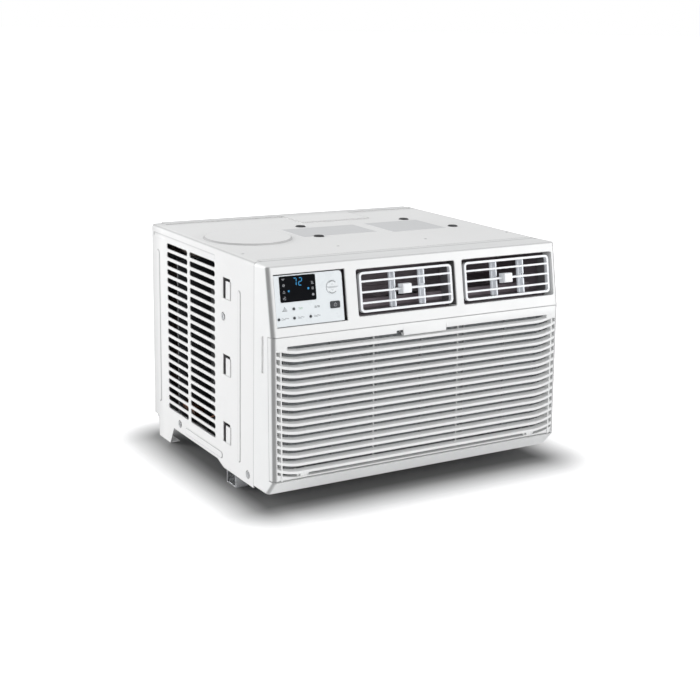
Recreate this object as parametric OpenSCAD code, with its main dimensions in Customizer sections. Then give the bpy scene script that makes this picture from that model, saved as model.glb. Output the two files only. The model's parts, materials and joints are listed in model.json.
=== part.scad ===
// Window air conditioner: a steel cabinet on folded feet with a moulded front bezel,
// a tilting intake grille, two outlet vents and the sealed cooling system inside.
// Millimetres. +X is right seen from the room, -Y faces the room, +Z is up.
// The origin is on the floor under the middle of the overall box.

/* [Overall] */
// Width across the front bezel
body_w = 472; // [468:1:480]
// Depth from the lower grille to the cabinet's rear edge
body_d = 404; // [400:1:410]
// Height of the cabinet's top sheet above the floor
top_z = 331.7; // [330:0.1:335]
// Height of the bezel's bottom edge above the floor
foot_h = 24; // [22:0.5:25]

/* [Front] */
// Radius of the bezel's upright corners
corner_r = 7; // [6:1:12]
// Wall of the moulded bezel
bezel_t = 2.5; // [2:0.1:3]
// Number of intake slots in the lower grille
grille_slots = 17; // [12:1:18]
// Distance between intake slots
grille_pitch = 10.9; // [9:0.1:11]
// Height of one intake slot
grille_gap = 4.4; // [3:0.1:5]

/* [Vents] */
// Width of a vent cartridge
vent_w = 150; // [140:1:152]
// Height of a vent cartridge along the sloping panel
vent_h = 54.5; // [48:0.5:56]
// Clearance between a cartridge and its opening at each end
vent_side_gap = 5; // [4:0.5:5]

/* [Cabinet] */
// Thickness of the cabinet sheet
sheet_t = 1.2; // [0.8:0.1:1.5]
// Rows of louvre slots on each side
louvre_rows = 20; // [10:1:20]
// Distance between louvre rows
louvre_pitch = 13; // [11:0.5:13]
// Height of one louvre slot
louvre_h = 8; // [5:0.5:9]

/* [Fan] */
// Radius of the condenser fan over its slinger ring
fan_r = 132; // [120:1:134]
// Number of condenser fan blades
fan_blades = 5; // [3:1:7]
// Radius of the blower wheel
wheel_r = 80; // [70:1:84]
// Number of blades round the blower wheel
wheel_blades = 36; // [20:1:44]
// Radius of the motor shaft
shaft_r = 4; // [3:0.5:5]

/* [Coils] */
// Distance between coil fins
fin_pitch = 8; // [6:1:12]
// Radius of the coil tubes
tube_r = 4.8; // [3.5:0.1:5]

/* [Hidden] */
$fn = 48;
eps = 0.01;
far = 300;

half_w = body_w / 2;
front_y = -body_d / 2;
rear_y = body_d / 2;

// The front's profile, from the top edge down to the underside
seam_y = front_y + 58.7;
panel_top_y = front_y + 23.8;
panel_foot = [0, front_y + 7.1, 241.2];
grille_foot = [0, front_y, 45.5];
chin_y = front_y + 17.7;
front_edge_r = 3;
low_edge_r = 2;
panel_tilt = atan((panel_top_y - panel_foot[1]) / (top_z - panel_foot[2]));
grille_lean = atan((panel_foot[1] - grille_foot[1]) / (panel_foot[2] - grille_foot[2]));
grille_h = (panel_foot[2] - grille_foot[2]) / cos(grille_lean);

// The cabinet's sheet
side_x = half_w - 1;
cabinet_y = seam_y + 1.4;
bend_r = 5;
flange_y = seam_y + 12;
joggle = 1.5;
skirt_z = foot_h - 3.8;
sill_z = foot_h + 3.5;
rear_z = foot_h + 9;
leg = [127.3, 142, 184, 186.7];

// The fan's axis
shaft_x = 55;
shaft_z = 172;
bulkhead_y = -44;

// The compressor stands under the round boss in the top
compressor_c = [-156, 29];
boss_c = [-159, 29];
boss_r = 64;
boss_h = 2.3;

// The vents, left to right, in the sloping panel's own frame
vent_x = [-24.5, 147.3];
vent_z = 47;
vent_axis_y = 13;
vent_depth = 24;
vane_x = 24;
vane_shift = 8;
vane_pivot_y = 17.5;
crank = 9;

// The grille's hinge, in the lower panel's own frame
hinge_r = 6;
hinge_z = hinge_r + 0.7;
lug_x = 190;

// ---- helpers ----
module slab(lo, hi) translate(lo) cube(hi - lo);

module both_sides() { children(); mirror([1, 0, 0]) children(); }

// A flat outline drawn as (x, z), thickened from y0 to y1
module along_y(y0, y1) translate([0, y1, 0]) rotate([90, 0, 0]) linear_extrude(y1 - y0) children();

// A flat outline drawn as (y, z), thickened from x0 to x1
module along_x(x0, x1) translate([x0, 0, 0]) rotate([90, 0, 90]) linear_extrude(x1 - x0) children();

module rod_y(x, z, r, y0, y1) translate([x, y0, z]) rotate([-90, 0, 0]) cylinder(h = y1 - y0, r = r);
module rod_x(y, z, r, x0, x1) translate([x0, y, z]) rotate([0, 90, 0]) cylinder(h = x1 - x0, r = r);
module rod_z(x, y, r, z0, z1) translate([x, y, z0]) cylinder(h = z1 - z0, r = r);

module rounded_2d(w, h, r) {
  square([w - 2 * r, h], center = true);
  square([w, h - 2 * r], center = true);
  for (x = [-1, 1], y = [-1, 1]) translate([x * (w / 2 - r), y * (h / 2 - r)]) circle(r);
}

module stadium_2d(x0, x1, z, h) {
  translate([x0 + h / 2, z - h / 2]) square([x1 - x0 - h, h]);
  for (x = [x0 + h / 2, x1 - h / 2]) translate([x, z]) circle(h / 2);
}

// A rod from a to b
module strut(a, b, r) {
  d = b - a;
  translate(a) rotate([0, acos(d[2] / norm(d)), atan2(d[1], d[0])]) cylinder(h = norm(d), r = r, $fn = 24);
}

function unit(v) = v / norm(v);

// A path whose inner corners are eased into short curves
function eased(p, ease) = concat([p[0]],
  [for (i = [1 : len(p) - 2])
    let (back = p[i - 1] - p[i], on = p[i + 1] - p[i], e = min(ease, norm(back) / 2.2, norm(on) / 2.2))
    for (t = [0 : 0.25 : 1]) p[i] + unit(back) * e * (1 - t) * (1 - t) + unit(on) * e * t * t],
  [p[len(p) - 1]]);

// The rings of a swept tube: each is the last one slid along the path onto the next mitre plane
function slide(ring, p, d, n) = [for (q = ring) q + d * (((p - q) * n) / (d * n))];
function rings(path, ring, i = 1) = i == len(path) ? [] :
  let (d = unit(path[i] - path[i - 1]),
    n = i == len(path) - 1 ? d : unit(d + unit(path[i + 1] - path[i])),
    next = slide(ring, path[i], d, n))
  concat([next], rings(path, next, i + 1));

// A round tube swept along a path
module pipe(path, r, sides = 12) {
  d = unit(path[1] - path[0]);
  u = unit(cross(d, abs(d[2]) < 0.9 ? [0, 0, 1] : [1, 0, 0]));
  v = cross(d, u);
  first = [for (j = [0 : sides - 1]) path[0] + r * (cos(360 * j / sides) * u + sin(360 * j / sides) * v)];
  all = concat([first], rings(path, first));
  n = len(all);
  polyhedron([for (ring = all, q = ring) q], concat([[for (j = [0 : sides - 1]) j]],
    [for (i = [0 : n - 2], j = [0 : sides - 1])
      [i * sides + j, (i + 1) * sides + j, (i + 1) * sides + (j + 1) % sides, i * sides + (j + 1) % sides]],
    [[for (j = [sides - 1 : -1 : 0]) (n - 1) * sides + j]]));
}

module on_panel() translate(panel_foot) rotate([-panel_tilt, 0, 0]) children();
module on_grille() translate(grille_foot) rotate([-grille_lean, 0, 0]) children();

// The outside form of the whole moulded front, drawn in by an inset
module front_form(inset, back_y) {
  r = corner_r - inset;
  edge = max(front_edge_r - inset, 0.5);
  x = half_w - corner_r;
  levels = [[panel_foot[1], panel_foot[2]], [front_y, grille_foot[2]]];
  ends = [[panel_top_y, top_z - inset - edge], [chin_y, foot_h + inset + edge]];
  hull() {
    for (s = [-1, 1], p = ends)
      translate([s * x, p[0] + corner_r, p[1]]) rotate_extrude($fn = 32)
        translate([r - edge, 0]) circle(edge, $fn = 16);
    for (s = [-1, 1], p = levels)
      translate([s * x, p[0] + corner_r, p[1]]) cylinder(h = 0.1, r = r, $fn = 32);
    for (s = [-1, 1], end = [[foot_h + inset + low_edge_r, low_edge_r], [top_z - bend_r, bend_r - inset]])
      translate([s * (half_w - inset - end[1]), back_y, end[0]])
        rotate([90, 0, 0]) cylinder(h = 0.1, r = end[1], $fn = 32);
  }
}

// ---- cabinet ----
module side_outline_2d() {
  step = [95, 116];
  polygon([[cabinet_y, skirt_z], [seam_y + step[0], skirt_z], [seam_y + step[1], sill_z],
    [leg[0], sill_z], [leg[1], 0], [leg[2], 0], [leg[3], rear_z], [rear_y, rear_z],
    [rear_y, top_z - bend_r], [cabinet_y, top_z - bend_r]]);
}

module side_holes_2d() {
  first_z = 60;
  columns = [[-21.3, 63.7], [71.7, 145.2]];
  for (c = columns, i = [0 : louvre_rows - 1])
    stadium_2d(c[0], c[1], first_z + i * louvre_pitch, louvre_h);
  for (z = hook_z) translate([hook_y, z]) square([hook_w, hook_h]);
  for (p = side_screws) translate(p) circle(screw_hole_r);
}
hook_y = -69.3;
hook_w = 22;
hook_h = 29;
hook_z = [60, 158, 266];
side_screws = [[-48.3, 240], [103.7, 41], [-124.3, 34]];
screw_hole_r = 2.2;
dimple_r = 6;
dimple_h = 0.8;

// A pressed rib on the left side from p0 to p1, drawn as (y, z)
module side_bead(p0, p1, w, h) {
  crown = 2.5;
  ball_r = (w * w / 4 + crown * crown) / (2 * crown);
  x = -side_x - crown + ball_r;
  intersection() {
    slab([-side_x - h, -200, 0], [-side_x + 0.5, 250, 400]);
    union() {
      strut([x, p0[0], p0[1]], [x, p1[0], p1[1]], ball_r);
      for (p = [p0, p1]) translate([x, p[0], p[1]]) sphere(ball_r);
    }
  }
}

module cabinet_side() {
  lip = 12;
  groove_r = 9;
  tab_l = 14;
  difference() {
    union() {
      along_x(-side_x, -side_x + sheet_t) difference() { side_outline_2d(); side_holes_2d(); }
      side_bead([-97.3, 48], [-97.3, 281], 9, 0.9);
      side_bead([179.2, 64], [179.2, 290], 13, 0.9);
      side_bead([-40, 37], [79, 37], 10, 0.9);
      for (z = hook_z)
        slab([-half_w, hook_y - 2.5, z + 0.6], [-half_w + sheet_t, hook_y + tab_l - 2.5, z + hook_h - 3.5]);
    }
    strut([-side_x - groove_r + 0.7, -21, 318], [-side_x - groove_r + 0.7, 194, 318], groove_r);
    for (p = side_screws) translate([-side_x - eps, p[0], p[1]]) rotate([0, 90, 0])
      cylinder(h = dimple_h + eps, r1 = dimple_r, r2 = dimple_r - dimple_h);
  }
  slab([-side_x, leg[1], 0], [-side_x + 16, leg[2], sheet_t]);
  slab([-side_x + sheet_t - eps, rear_y - sheet_t, rear_z], [-side_x + lip, rear_y, top_z - bend_r]);
}

// The bent long edge between the top and the left side
module cabinet_bend(y0, y1) {
  along_y(y0, y1) intersection() {
    translate([-side_x + bend_r, top_z - bend_r]) difference() { circle(bend_r); circle(bend_r - sheet_t); }
    translate([-side_x, top_z - bend_r]) square(bend_r);
  }
}

module cabinet_top() {
  inner_x = side_x - bend_r;
  raise = 1.5;
  plateau = [[-22, 115], [98, rear_y - 20]];
  band_y = 182;
  lip = 14;
  difference() {
    union() {
      slab([-inner_x, flange_y, top_z - sheet_t], [inner_x, rear_y, top_z]);
      slab([-inner_x + 10, band_y, top_z - eps], [inner_x - 10, rear_y - 1, top_z + raise]);
      slab([plateau[0][0], plateau[0][1], top_z - eps], [plateau[1][0], band_y + 1, top_z + raise]);
      slab([-inner_x, rear_y - sheet_t, top_z - lip], [inner_x, rear_y, top_z - sheet_t + eps]);
      slab([-inner_x + 4, cabinet_y, top_z - joggle - sheet_t], [inner_x - 4, flange_y + 1, top_z - joggle]);
      slab([-inner_x + 4, flange_y, top_z - joggle - sheet_t], [inner_x - 4, flange_y + sheet_t, top_z]);
      translate([boss_c[0], boss_c[1], top_z - eps]) cylinder(h = boss_h + eps, r1 = boss_r, r2 = boss_r - 2.2);
    }
    translate([boss_c[0], boss_c[1], top_z - sheet_t - 1])
      cylinder(h = boss_h + 1, r1 = boss_r - sheet_t, r2 = boss_r - 2.2 - sheet_t);
    for (x = rail_x) rod_z(x, rail_y, rail_hole_r, top_z - 5, top_z + 5);
    for (p = plug_at) rod_z(p[0], p[1], plug_r, top_z - 5, top_z + 5);
  }
}
rail_x = [-222, -74, 74, 222];
rail_y = -81.3;
rail_hole_r = 1.9;
plug_at = [[-41, 87.2], [-58.5, -0.3], [146, 87.2], [179, -0.8]];
plug_r = 6;

module cabinet() color("whitesmoke") {
  both_sides() {
    cabinet_side();
    cabinet_bend(cabinet_y, rear_y);
    slab([-side_x + bend_r, cabinet_y, top_z - sheet_t], [-side_x + bend_r + 4.4, flange_y, top_z]);
    slab([-side_x + bend_r + 3, cabinet_y, top_z - joggle - sheet_t], [-side_x + bend_r + 4.4, flange_y, top_z]);
  }
  cabinet_top();
}

module top_plugs() color("#202224") {
  head_r = 8;
  head_h = 1.4;
  for (p = plug_at) {
    translate([p[0], p[1], top_z]) cylinder(h = head_h, r1 = head_r, r2 = head_r - 1.2);
    rod_z(p[0], p[1], plug_r - 0.2, top_z - 5, top_z + eps);
  }
}

module top_labels() color("gainsboro") {
  t = 0.25;
  slab([-82, 2, top_z], [-69, 72, top_z + t]);
  difference() {
    slab([-69 - eps, 2, top_z], [42, 72, top_z + t]);
    rod_z(plug_at[1][0], plug_at[1][1], 10, top_z - 1, top_z + 2);
  }
  difference() {
    slab([64, -10, top_z], [160, 74, top_z + t]);
    rod_z(plug_at[2][0], plug_at[2][1], 9, top_z - 1, top_z + 2);
  }
}

// Pan-head screws through the cabinet's sides into the base pan and the bulkhead
module cabinet_screws() color("silver") {
  head_r = 4;
  head_x = half_w - 0.1;
  shank_r = 1.9;
  shank_l = 7;
  seat_x = side_x - dimple_h;
  both_sides() for (p = side_screws) difference() {
    union() {
      rod_x(p[0], p[1], head_r, -head_x, -seat_x);
      rod_x(p[0], p[1], shank_r, -seat_x - eps, -seat_x + shank_l);
    }
    for (a = [0, 90]) translate([-head_x - 1, p[0], p[1]]) rotate([a, 0, 0])
      slab([0, -2.2, -0.4], [2, 2.2, 0.4]);
  }
}

// ---- base ----
pan_z = sill_z - 0.5;
pan_t = 1.5;
pan_x = half_w - 4.5;
pan_y = [-172, 198];
pan_rim = 55;
drain_at = [150, 160];
drain_r = 8;
stud_r = 3;
stud_pcd_r = 64;
pad_h = 6;
function stud_at(i) = compressor_c + stud_pcd_r * [cos(120 * i + 90), sin(120 * i + 90)];

module base_pan() color("gainsboro") {
  dam = [[-88, 62], [200, 122]];
  dam_h = 9;
  difference() {
    union() {
      slab([-pan_x, pan_y[0], pan_z], [pan_x, pan_y[1], pan_z + pan_t]);
      both_sides() slab([-pan_x, seam_y + 2, pan_z], [-pan_x + pan_t, pan_y[1] - 2, pan_rim]);
      slab([-pan_x, pan_y[1] - pan_t, pan_z], [pan_x, pan_y[1], rear_z + 8]);
      slab([-pan_x + 10, pan_y[0], pan_z], [pan_x - 10, pan_y[0] + pan_t, pan_z + 7]);
      for (i = [0 : 2]) rod_z(stud_at(i)[0], stud_at(i)[1], 13, pan_z + pan_t - eps, pan_z + pad_h);
      for (y = [-30, 44]) slab([-60, y, pan_z], [215, y + 8, pan_z + 5]);
      difference() {
        slab([dam[0][0], dam[0][1], pan_z], [dam[1][0], dam[1][1], pan_z + dam_h]);
        slab([dam[0][0] + 2, dam[0][1] + 2, pan_z - 1], [dam[1][0] - 2, dam[1][1] - 2, pan_z + dam_h + 1]);
      }
      slab([dam[0][0], dam[0][1], pan_z], [dam[1][0], dam[1][1], pan_z + pan_t]);
    }
    rod_z(drain_at[0], drain_at[1], drain_r, pan_z - 1, pan_z + 5);
    for (i = [0 : 2]) rod_z(stud_at(i)[0], stud_at(i)[1], stud_r + 0.1, pan_z - 1, pan_z + pad_h + 1);
    both_sides() for (p = [side_screws[1], side_screws[2]])
      rod_x(p[0], p[1], screw_hole_r, -pan_x - 1, -pan_x + 4);
  }
}

foot_x = [-232, -214];
foot_y = [-81.3, -52.3];
foot_hole_r = 2.75;

// A folded U-shaped foot that stands in front of the base pan's side flange
module foot_loop() {
  t = 2;
  top = pan_z - 0.05;
  flange = 7;
  difference() {
    union() {
      for (y = [foot_y[0], foot_y[1] - t]) slab([foot_x[0], y, 0], [foot_x[1], y + t, top]);
      slab([foot_x[0], foot_y[0], 0], [foot_x[1], foot_y[1], t]);
      slab([foot_x[0], foot_y[0] - flange, top - t], [foot_x[1], foot_y[0] + t, top]);
      slab([foot_x[0], foot_y[1] - t, top - t], [foot_x[1], foot_y[1] + flange, top]);
    }
    rod_z((foot_x[0] + foot_x[1]) / 2, (foot_y[0] + foot_y[1]) / 2, foot_hole_r, -1, t + 1);
  }
}
module front_foot_left() color("silver") foot_loop();
module front_foot_right() color("silver") mirror([1, 0, 0]) foot_loop();

module drain_plug() color("#303234") {
  rod_z(drain_at[0], drain_at[1], drain_r - 0.1, pan_z - 1, pan_z + pan_t + 2);
  rod_z(drain_at[0], drain_at[1], drain_r + 3, pan_z - 3, pan_z - eps);
}

// ---- bezel ----
open_w = vent_w + 2 * vent_side_gap;
open_h = 63;
overlay = [[-227.5, 12.5], [-121.5, 81]];
pin_r = 2.2;
running = 0.05;

module bezel_openings() {
  on_panel() {
    for (x = vent_x) translate([x, 0, vent_z]) along_y(-20, 40) rounded_2d(open_w, open_h, 3);
    slab([overlay[0][0], -20, overlay[0][1]], [overlay[1][0], 40, overlay[1][1]]);
  }
}

// The collar round one vent, which carries the cartridge's pivots
module vent_collar(x) {
  t = 2.5;
  depth = 20;
  difference() {
    translate([x, 0, vent_z]) along_y(0.8, depth) difference() {
      rounded_2d(open_w + 2 * t, open_h + 2 * t, 5);
      rounded_2d(open_w, open_h, 3);
    }
    rod_x(vent_axis_y, vent_z, pin_r + running, x - open_w, x + open_w);
  }
}

grille_gap_z = 0.6;

module hinge_lug(x) {
  w = 10;
  neck = 2.2;
  difference() {
    union() {
      rod_x(hinge_r, hinge_z, 4.2, x - w / 2, x + w / 2);
      slab([x - w / 2, hinge_r, hinge_z - neck], [x + w / 2, hinge_r + 11, hinge_z + neck]);
      slab([x - w / 2, hinge_r + 8, -3], [x + w / 2, hinge_r + 11, hinge_z + neck]);
    }
    rod_x(hinge_r, hinge_z, hinge_pin_r + running, x - w, x + w);
  }
}
hinge_pin_r = 2;
grille_back = 12;

module front_bezel() color("white") {
  ledge_t = 2.5;
  notch = [[-171, 189], [-165.8, 238]];
  difference() {
    union() {
      difference() {
        front_form(0, seam_y);
        front_form(bezel_t, seam_y + 5);
      }
      intersection() {
        front_form(0.5, seam_y);
        on_grille() slab([-far, -5, -ledge_t], [far, 22, 0]);
      }
      intersection() {
        front_form(0.5, seam_y);
        slab([-far, -far, panel_foot[2]], [far, front_y + 25, panel_foot[2] + ledge_t]);
      }
    }
    on_grille() slab([-far, -20, grille_gap_z], [far, grille_back + 0.7, grille_h]);
    bezel_openings();
    both_sides() slab([-half_w - 1, notch[0][0], notch[0][1]], [-half_w + 1.6, notch[1][0], notch[1][1]]);
    rod_x(cord_at[0], cord_at[1], cord_hole_r, half_w - 5, half_w + 5);
  }
  slab([-side_x + bend_r + 5, seam_y - 2, top_z - joggle + 0.2], [side_x - bend_r - 5, flange_y - 0.5, top_z]);
  on_panel() for (x = vent_x) vent_collar(x);
  on_grille() both_sides() hinge_lug(lug_x);
}
cord_at = [-156, 60];
cord_hole_r = 7;

module cord_grommet() color("#282a2c") {
  r = 4;
  difference() {
    union() {
      rod_x(cord_at[0], cord_at[1], cord_hole_r - 0.1, half_w - 6, half_w - 1);
      rod_x(cord_at[0], cord_at[1], cord_hole_r + 2, half_w - bezel_t - 2.5, half_w - bezel_t - 0.1);
    }
    rod_x(cord_at[0], cord_at[1], r, half_w - 20, half_w + 5);
  }
}

// ---- intake grille and filter ----
slot_x = 230;
slot_bend_x = 194;
slot_rise = 7;
first_slot_z = 6.7;
tab_x = 36;

// How far a slot's end sweeps up at a distance x from the middle
function sweep(x) = x < slot_bend_x ? 0 : slot_rise * pow((x - slot_bend_x) / (slot_x - slot_bend_x), 2);

// One half of a slot as an outline (x, z), from x0 outwards to its swept end
module slot_2d(x0, x1, z) {
  steps = 8;
  h = grille_gap / 2;
  bend_x = max(slot_bend_x, x0);
  xs = concat(x0 < bend_x ? [x0] : [], [for (i = [0 : steps]) bend_x + (x1 - bend_x) * i / steps]);
  polygon(concat([for (x = xs) [x, z + sweep(x) - h]],
    [for (i = [len(xs) - 1 : -1 : 0]) [xs[i], z + sweep(xs[i]) + h]]));
}

module grille_slots_2d() {
  rib_x = 223.5;
  rib_w = 2.5;
  top = first_slot_z + (grille_slots - 1) * grille_pitch;
  for (i = [0 : grille_slots - 1], s = [0, 1]) mirror([s, 0]) {
    last = i == grille_slots - 1;
    slot_2d(last ? tab_x + 2 : -eps, last ? 214 : rib_x - rib_w / 2, first_slot_z + i * grille_pitch);
    slot_2d(rib_x + rib_w / 2, slot_x, first_slot_z + i * grille_pitch);
  }
  translate([-tab_x - 10, top - 1]) square([9, grille_gap / 2 + 4]);
}

module front_grille() color("white") {
  plate_t = 9;
  rim = 7;
  pocket_z = [13, grille_h - 6];
  difference() {
    intersection() {
      front_form(0, seam_y);
      on_grille() union() {
        slab([-far, -5, hinge_z], [far, grille_back, grille_h - 0.7]);
        rod_x(hinge_r, hinge_z, hinge_r, -far, far);
      }
    }
    on_grille() {
      slab([-half_w + rim, plate_t, pocket_z[0]], [half_w - rim, 30, pocket_z[1]]);
      along_y(-10, 20) grille_slots_2d();
      both_sides() {
        rod_x(hinge_r, hinge_z, 4.6, lug_x - 6, lug_x + 6);
        slab([lug_x - 6, hinge_r, -5], [lug_x + 6, 30, hinge_z + 3]);
      }
    }
  }
  on_grille() {
    both_sides() {
      rod_x(hinge_r, hinge_z, hinge_pin_r, lug_x - 6.5, lug_x + 6.5);
      for (x = [lug_x - 9, lug_x + 6]) {
        rod_x(hinge_r, hinge_z, 4.5, x, x + 3);
        slab([x, 2, hinge_z], [x + 3, grille_back, pocket_z[0] + 0.5]);
      }
    }
    slab([-tab_x, -1.2, grille_h - 17], [tab_x, 0.6, grille_h - 10]);
    for (x = [-78, 61]) slab([x - 1.2, 2.5, 2.5], [x + 1.2, plate_t - 0.2, pocket_z[1]]);
  }
}

filter_x = 216;
filter_z = [15, 186];
filter_y = [9.3, 12.8];

module filter_frame() color("#d8dde0") on_grille() {
  bar = 5;
  difference() {
    slab([-filter_x, filter_y[0], filter_z[0]], [filter_x, filter_y[1], filter_z[1]]);
    slab([-filter_x + bar, 0, filter_z[0] + bar], [filter_x - bar, 30, filter_z[1] - bar]);
  }
  for (i = [-2 : 2]) slab([i * 72 - 1, filter_y[0], filter_z[0] + bar - eps],
    [i * 72 + 1, filter_y[0] + 1.2, filter_z[1] - bar + eps]);
}

module filter_mesh() color("#8f979c") on_grille() {
  bar = 5.1;
  slab([-filter_x + bar, filter_y[0] + 1.3, filter_z[0] + bar], [filter_x - bar, filter_y[0] + 1.8, filter_z[1] - bar]);
}

// ---- vents ----
module vent_frame(x) {
  wall = 3.2;
  front = 1.5;
  slat_t = 2.6;
  slat_depth = 6.1;
  slat_gap = 14.5;
  reach = vent_side_gap + 2;
  difference() {
    union() {
      translate([x, 0, vent_z]) along_y(front, front + vent_depth) difference() {
        rounded_2d(vent_w, vent_h, 6);
        rounded_2d(vent_w - 2 * wall, vent_h - 2 * wall, 3);
      }
      for (i = [-1 : 1]) slab([x - vent_w / 2 + 1, front, vent_z + i * slat_gap - slat_t / 2],
        [x + vent_w / 2 - 1, slat_depth, vent_z + i * slat_gap + slat_t / 2]);
      for (s = [-1, 1]) rod_x(vent_axis_y, vent_z, pin_r, x + s * vent_w / 2 - (s > 0 ? 1 : reach),
        x + s * vent_w / 2 + (s > 0 ? reach : 1));
    }
    for (s = [-1, 1]) rod_z(x + vane_shift + s * vane_x, vane_pivot_y, vane_pin_r + running, vent_z - 40, vent_z + 40);
  }
}
vane_pin_r = 1.2;

module vane(x) {
  t = 1.8;
  h = vent_h - 2 * 3.2 - 0.9;
  y = [vane_pivot_y - 10.4, vane_pivot_y + 4.5];
  difference() {
    union() {
      slab([x - t / 2, y[0], vent_z - h / 2], [x + t / 2, y[1], vent_z + h / 2]);
      rod_z(x, vane_pivot_y, 2.2, vent_z - h / 2, vent_z + h / 2);
    }
    slab([x - 5, 0, vent_z - 3.6], [x + 5, vane_pivot_y - 5, vent_z + 3.6]);
  }
  rod_z(x, vane_pivot_y, vane_pin_r, vent_z - h / 2 - 2.6, vent_z + h / 2 + 2.6);
  rod_z(x, vane_pivot_y - crank, 0.8, vent_z - 3.7, vent_z + 3.7);
}

// The knob straddles the middle slat and pushes a bar that turns both vanes
module vane_slider(x) {
  knob_x = x - 3;
  knob = [7.5, 6.9];
  knob_front = -4.5;
  slat_clear = 1.6;
  bar_x = x + vane_shift;
  bar_y = [6.4, 11.1];
  difference() {
    union() {
      slab([knob_x - knob[0], knob_front, vent_z - knob[1]], [knob_x + knob[0], bar_y[0] + 1.8, vent_z + knob[1]]);
      slab([bar_x - vane_x - 4, bar_y[0], vent_z - 1.6], [bar_x + vane_x + 4, bar_y[1], vent_z + 1.6]);
    }
    slab([x - 20, 1.1, vent_z - slat_clear], [x + 20, bar_y[0], vent_z + slat_clear]);
    for (s = [-1, 1]) translate([bar_x + s * vane_x, vane_pivot_y - crank, vent_z])
      slab([-1.1, -1.4, -5], [1.1, 1.9, 5]);
  }
}

module vent_frame_left() color("white") on_panel() vent_frame(vent_x[0]);
module vent_frame_right() color("white") on_panel() vent_frame(vent_x[1]);
module vane_left_a() color("white") on_panel() vane(vent_x[0] + vane_shift - vane_x);
module vane_left_b() color("white") on_panel() vane(vent_x[0] + vane_shift + vane_x);
module vane_right_a() color("white") on_panel() vane(vent_x[1] + vane_shift - vane_x);
module vane_right_b() color("white") on_panel() vane(vent_x[1] + vane_shift + vane_x);
module vane_slider_left() color("white") on_panel() vane_slider(vent_x[0]);
module vane_slider_right() color("white") on_panel() vane_slider(vent_x[1]);

// ---- control panel ----
overlay_y = [1.6, 5.6];
display = [[-219, 44.5], [-166, 78]];
key_gap = 0.3;
key_proud = 0.8;
key_back = 2.4;
power_at = [-138.8, 35.2];
temp_at = [-141.5, 58.6];
temp_r = 8.7;
round_keys = [[-200.5, 35.2], [-223.3, 23.2], [-200.5, 23.2], [-176.5, 23.2]];
round_key_r = 1.7;

module power_key_2d(grow) translate(power_at) rounded_2d(14.4 + 2 * grow, 9 + 2 * grow, 1.5 + grow);

module temp_key_2d(grow, s) intersection() {
  translate(temp_at) circle(temp_r + grow);
  translate([temp_at[0] - 20, temp_at[1] + (s > 0 ? 0.8 - grow : -20)]) square([40, 19.2 + grow]);
}

module control_overlay() color("#e9f1f6") on_panel() {
  gap = 0.8;
  groove = 4.5;
  lo = overlay[0] + [gap, gap];
  hi = overlay[1] - [groove, 1.4];
  r = 5;
  difference() {
    along_y(overlay_y[0], overlay_y[1]) difference() {
      union() {
        translate(lo) square(hi - lo - [r, 0]);
        translate(lo) square(hi - lo - [0, r]);
        translate(hi - [r, r]) circle(r);
      }
      power_key_2d(key_gap);
      for (s = [-1, 1]) temp_key_2d(key_gap, s);
      for (p = round_keys) translate(p) circle(round_key_r + key_gap);
    }
    slab([display[0][0] - 0.2, 0, display[0][1] - 0.2], [display[1][0] + 0.2, overlay_y[0] + 1.5, display[1][1] + 0.2]);
  }
}

module display_window() color("#0b0d12") on_panel()
  slab([display[0][0], overlay_y[0] - 0.3, display[0][1]], [display[1][0], overlay_y[0] + 1.4, display[1][1]]);

module key_body() along_y(overlay_y[0] - key_proud, overlay_y[1] + key_back) children();
module power_key() color("#3c4248") on_panel() key_body() power_key_2d(0);
module temp_up_key() color("#eef4f8") on_panel() key_body() temp_key_2d(0, 1);
module temp_down_key() color("#eef4f8") on_panel() key_body() temp_key_2d(0, -1);
module round_key(i) color("#23282c") on_panel() key_body() translate(round_keys[i]) circle(round_key_r);
module timer_key() round_key(0);
module mode_key() round_key(1);
module fan_key() round_key(2);
module sleep_key() round_key(3);

board_y = overlay_y[1] + key_back + 3;
box_back_y = -104;
harness_at = [-150, 275];

module control_board() color("#1f6b46") on_panel() {
  slab([-226, board_y, 14], [-123, board_y + 1.6, 78]);
  switch_h = 2.2;
  for (p = concat([power_at], [temp_at + [0, 4.5]], [temp_at - [0, 4.5]], round_keys))
    translate([p[0], 0, p[1]]) slab([-2, board_y - switch_h, -2], [2, board_y + eps, 2]);
}

module control_box() color("#4a4f55") {
  z = [251, 326];
  x = [-229, -118];
  t = 2;
  y0 = -164;
  difference() {
    slab([x[0], y0, z[0]], [x[1], box_back_y, z[1]]);
    slab([x[0] + t, y0 - 1, z[0] + t], [x[1] - t, box_back_y - t, z[1] - t]);
    rod_y(harness_at[0], harness_at[1], 5, box_back_y - 5, box_back_y + 5);
  }
}

module capacitor() color("silver") {
  rod_y(-195, 280, 20, -160, -110);
  for (x = [-202, -188]) slab([x - 3, -163, 276], [x + 3, -160 + eps, 284]);
}

// ---- indoor side ----
evap_x = [-205, 212];
evap_y = [-174, -134];
evap_z = [34, 228];

// A pack of fins on a thin core, with an end plate at each side
module fin_pack(x, y, z) {
  plate_t = 1.2;
  fin_t = 0.5;
  core_t = 1;
  mid_y = (y[0] + y[1]) / 2;
  slab([x[0], mid_y - core_t / 2, z[0]], [x[1], mid_y + core_t / 2, z[1]]);
  for (px = [x[0], x[1] - plate_t]) slab([px, y[0], z[0]], [px + plate_t, y[1], z[1]]);
  for (px = [x[0] + fin_pitch : fin_pitch : x[1] - fin_pitch / 2])
    slab([px, y[0], z[0]], [px + fin_t, y[1], z[1]]);
}

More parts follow.
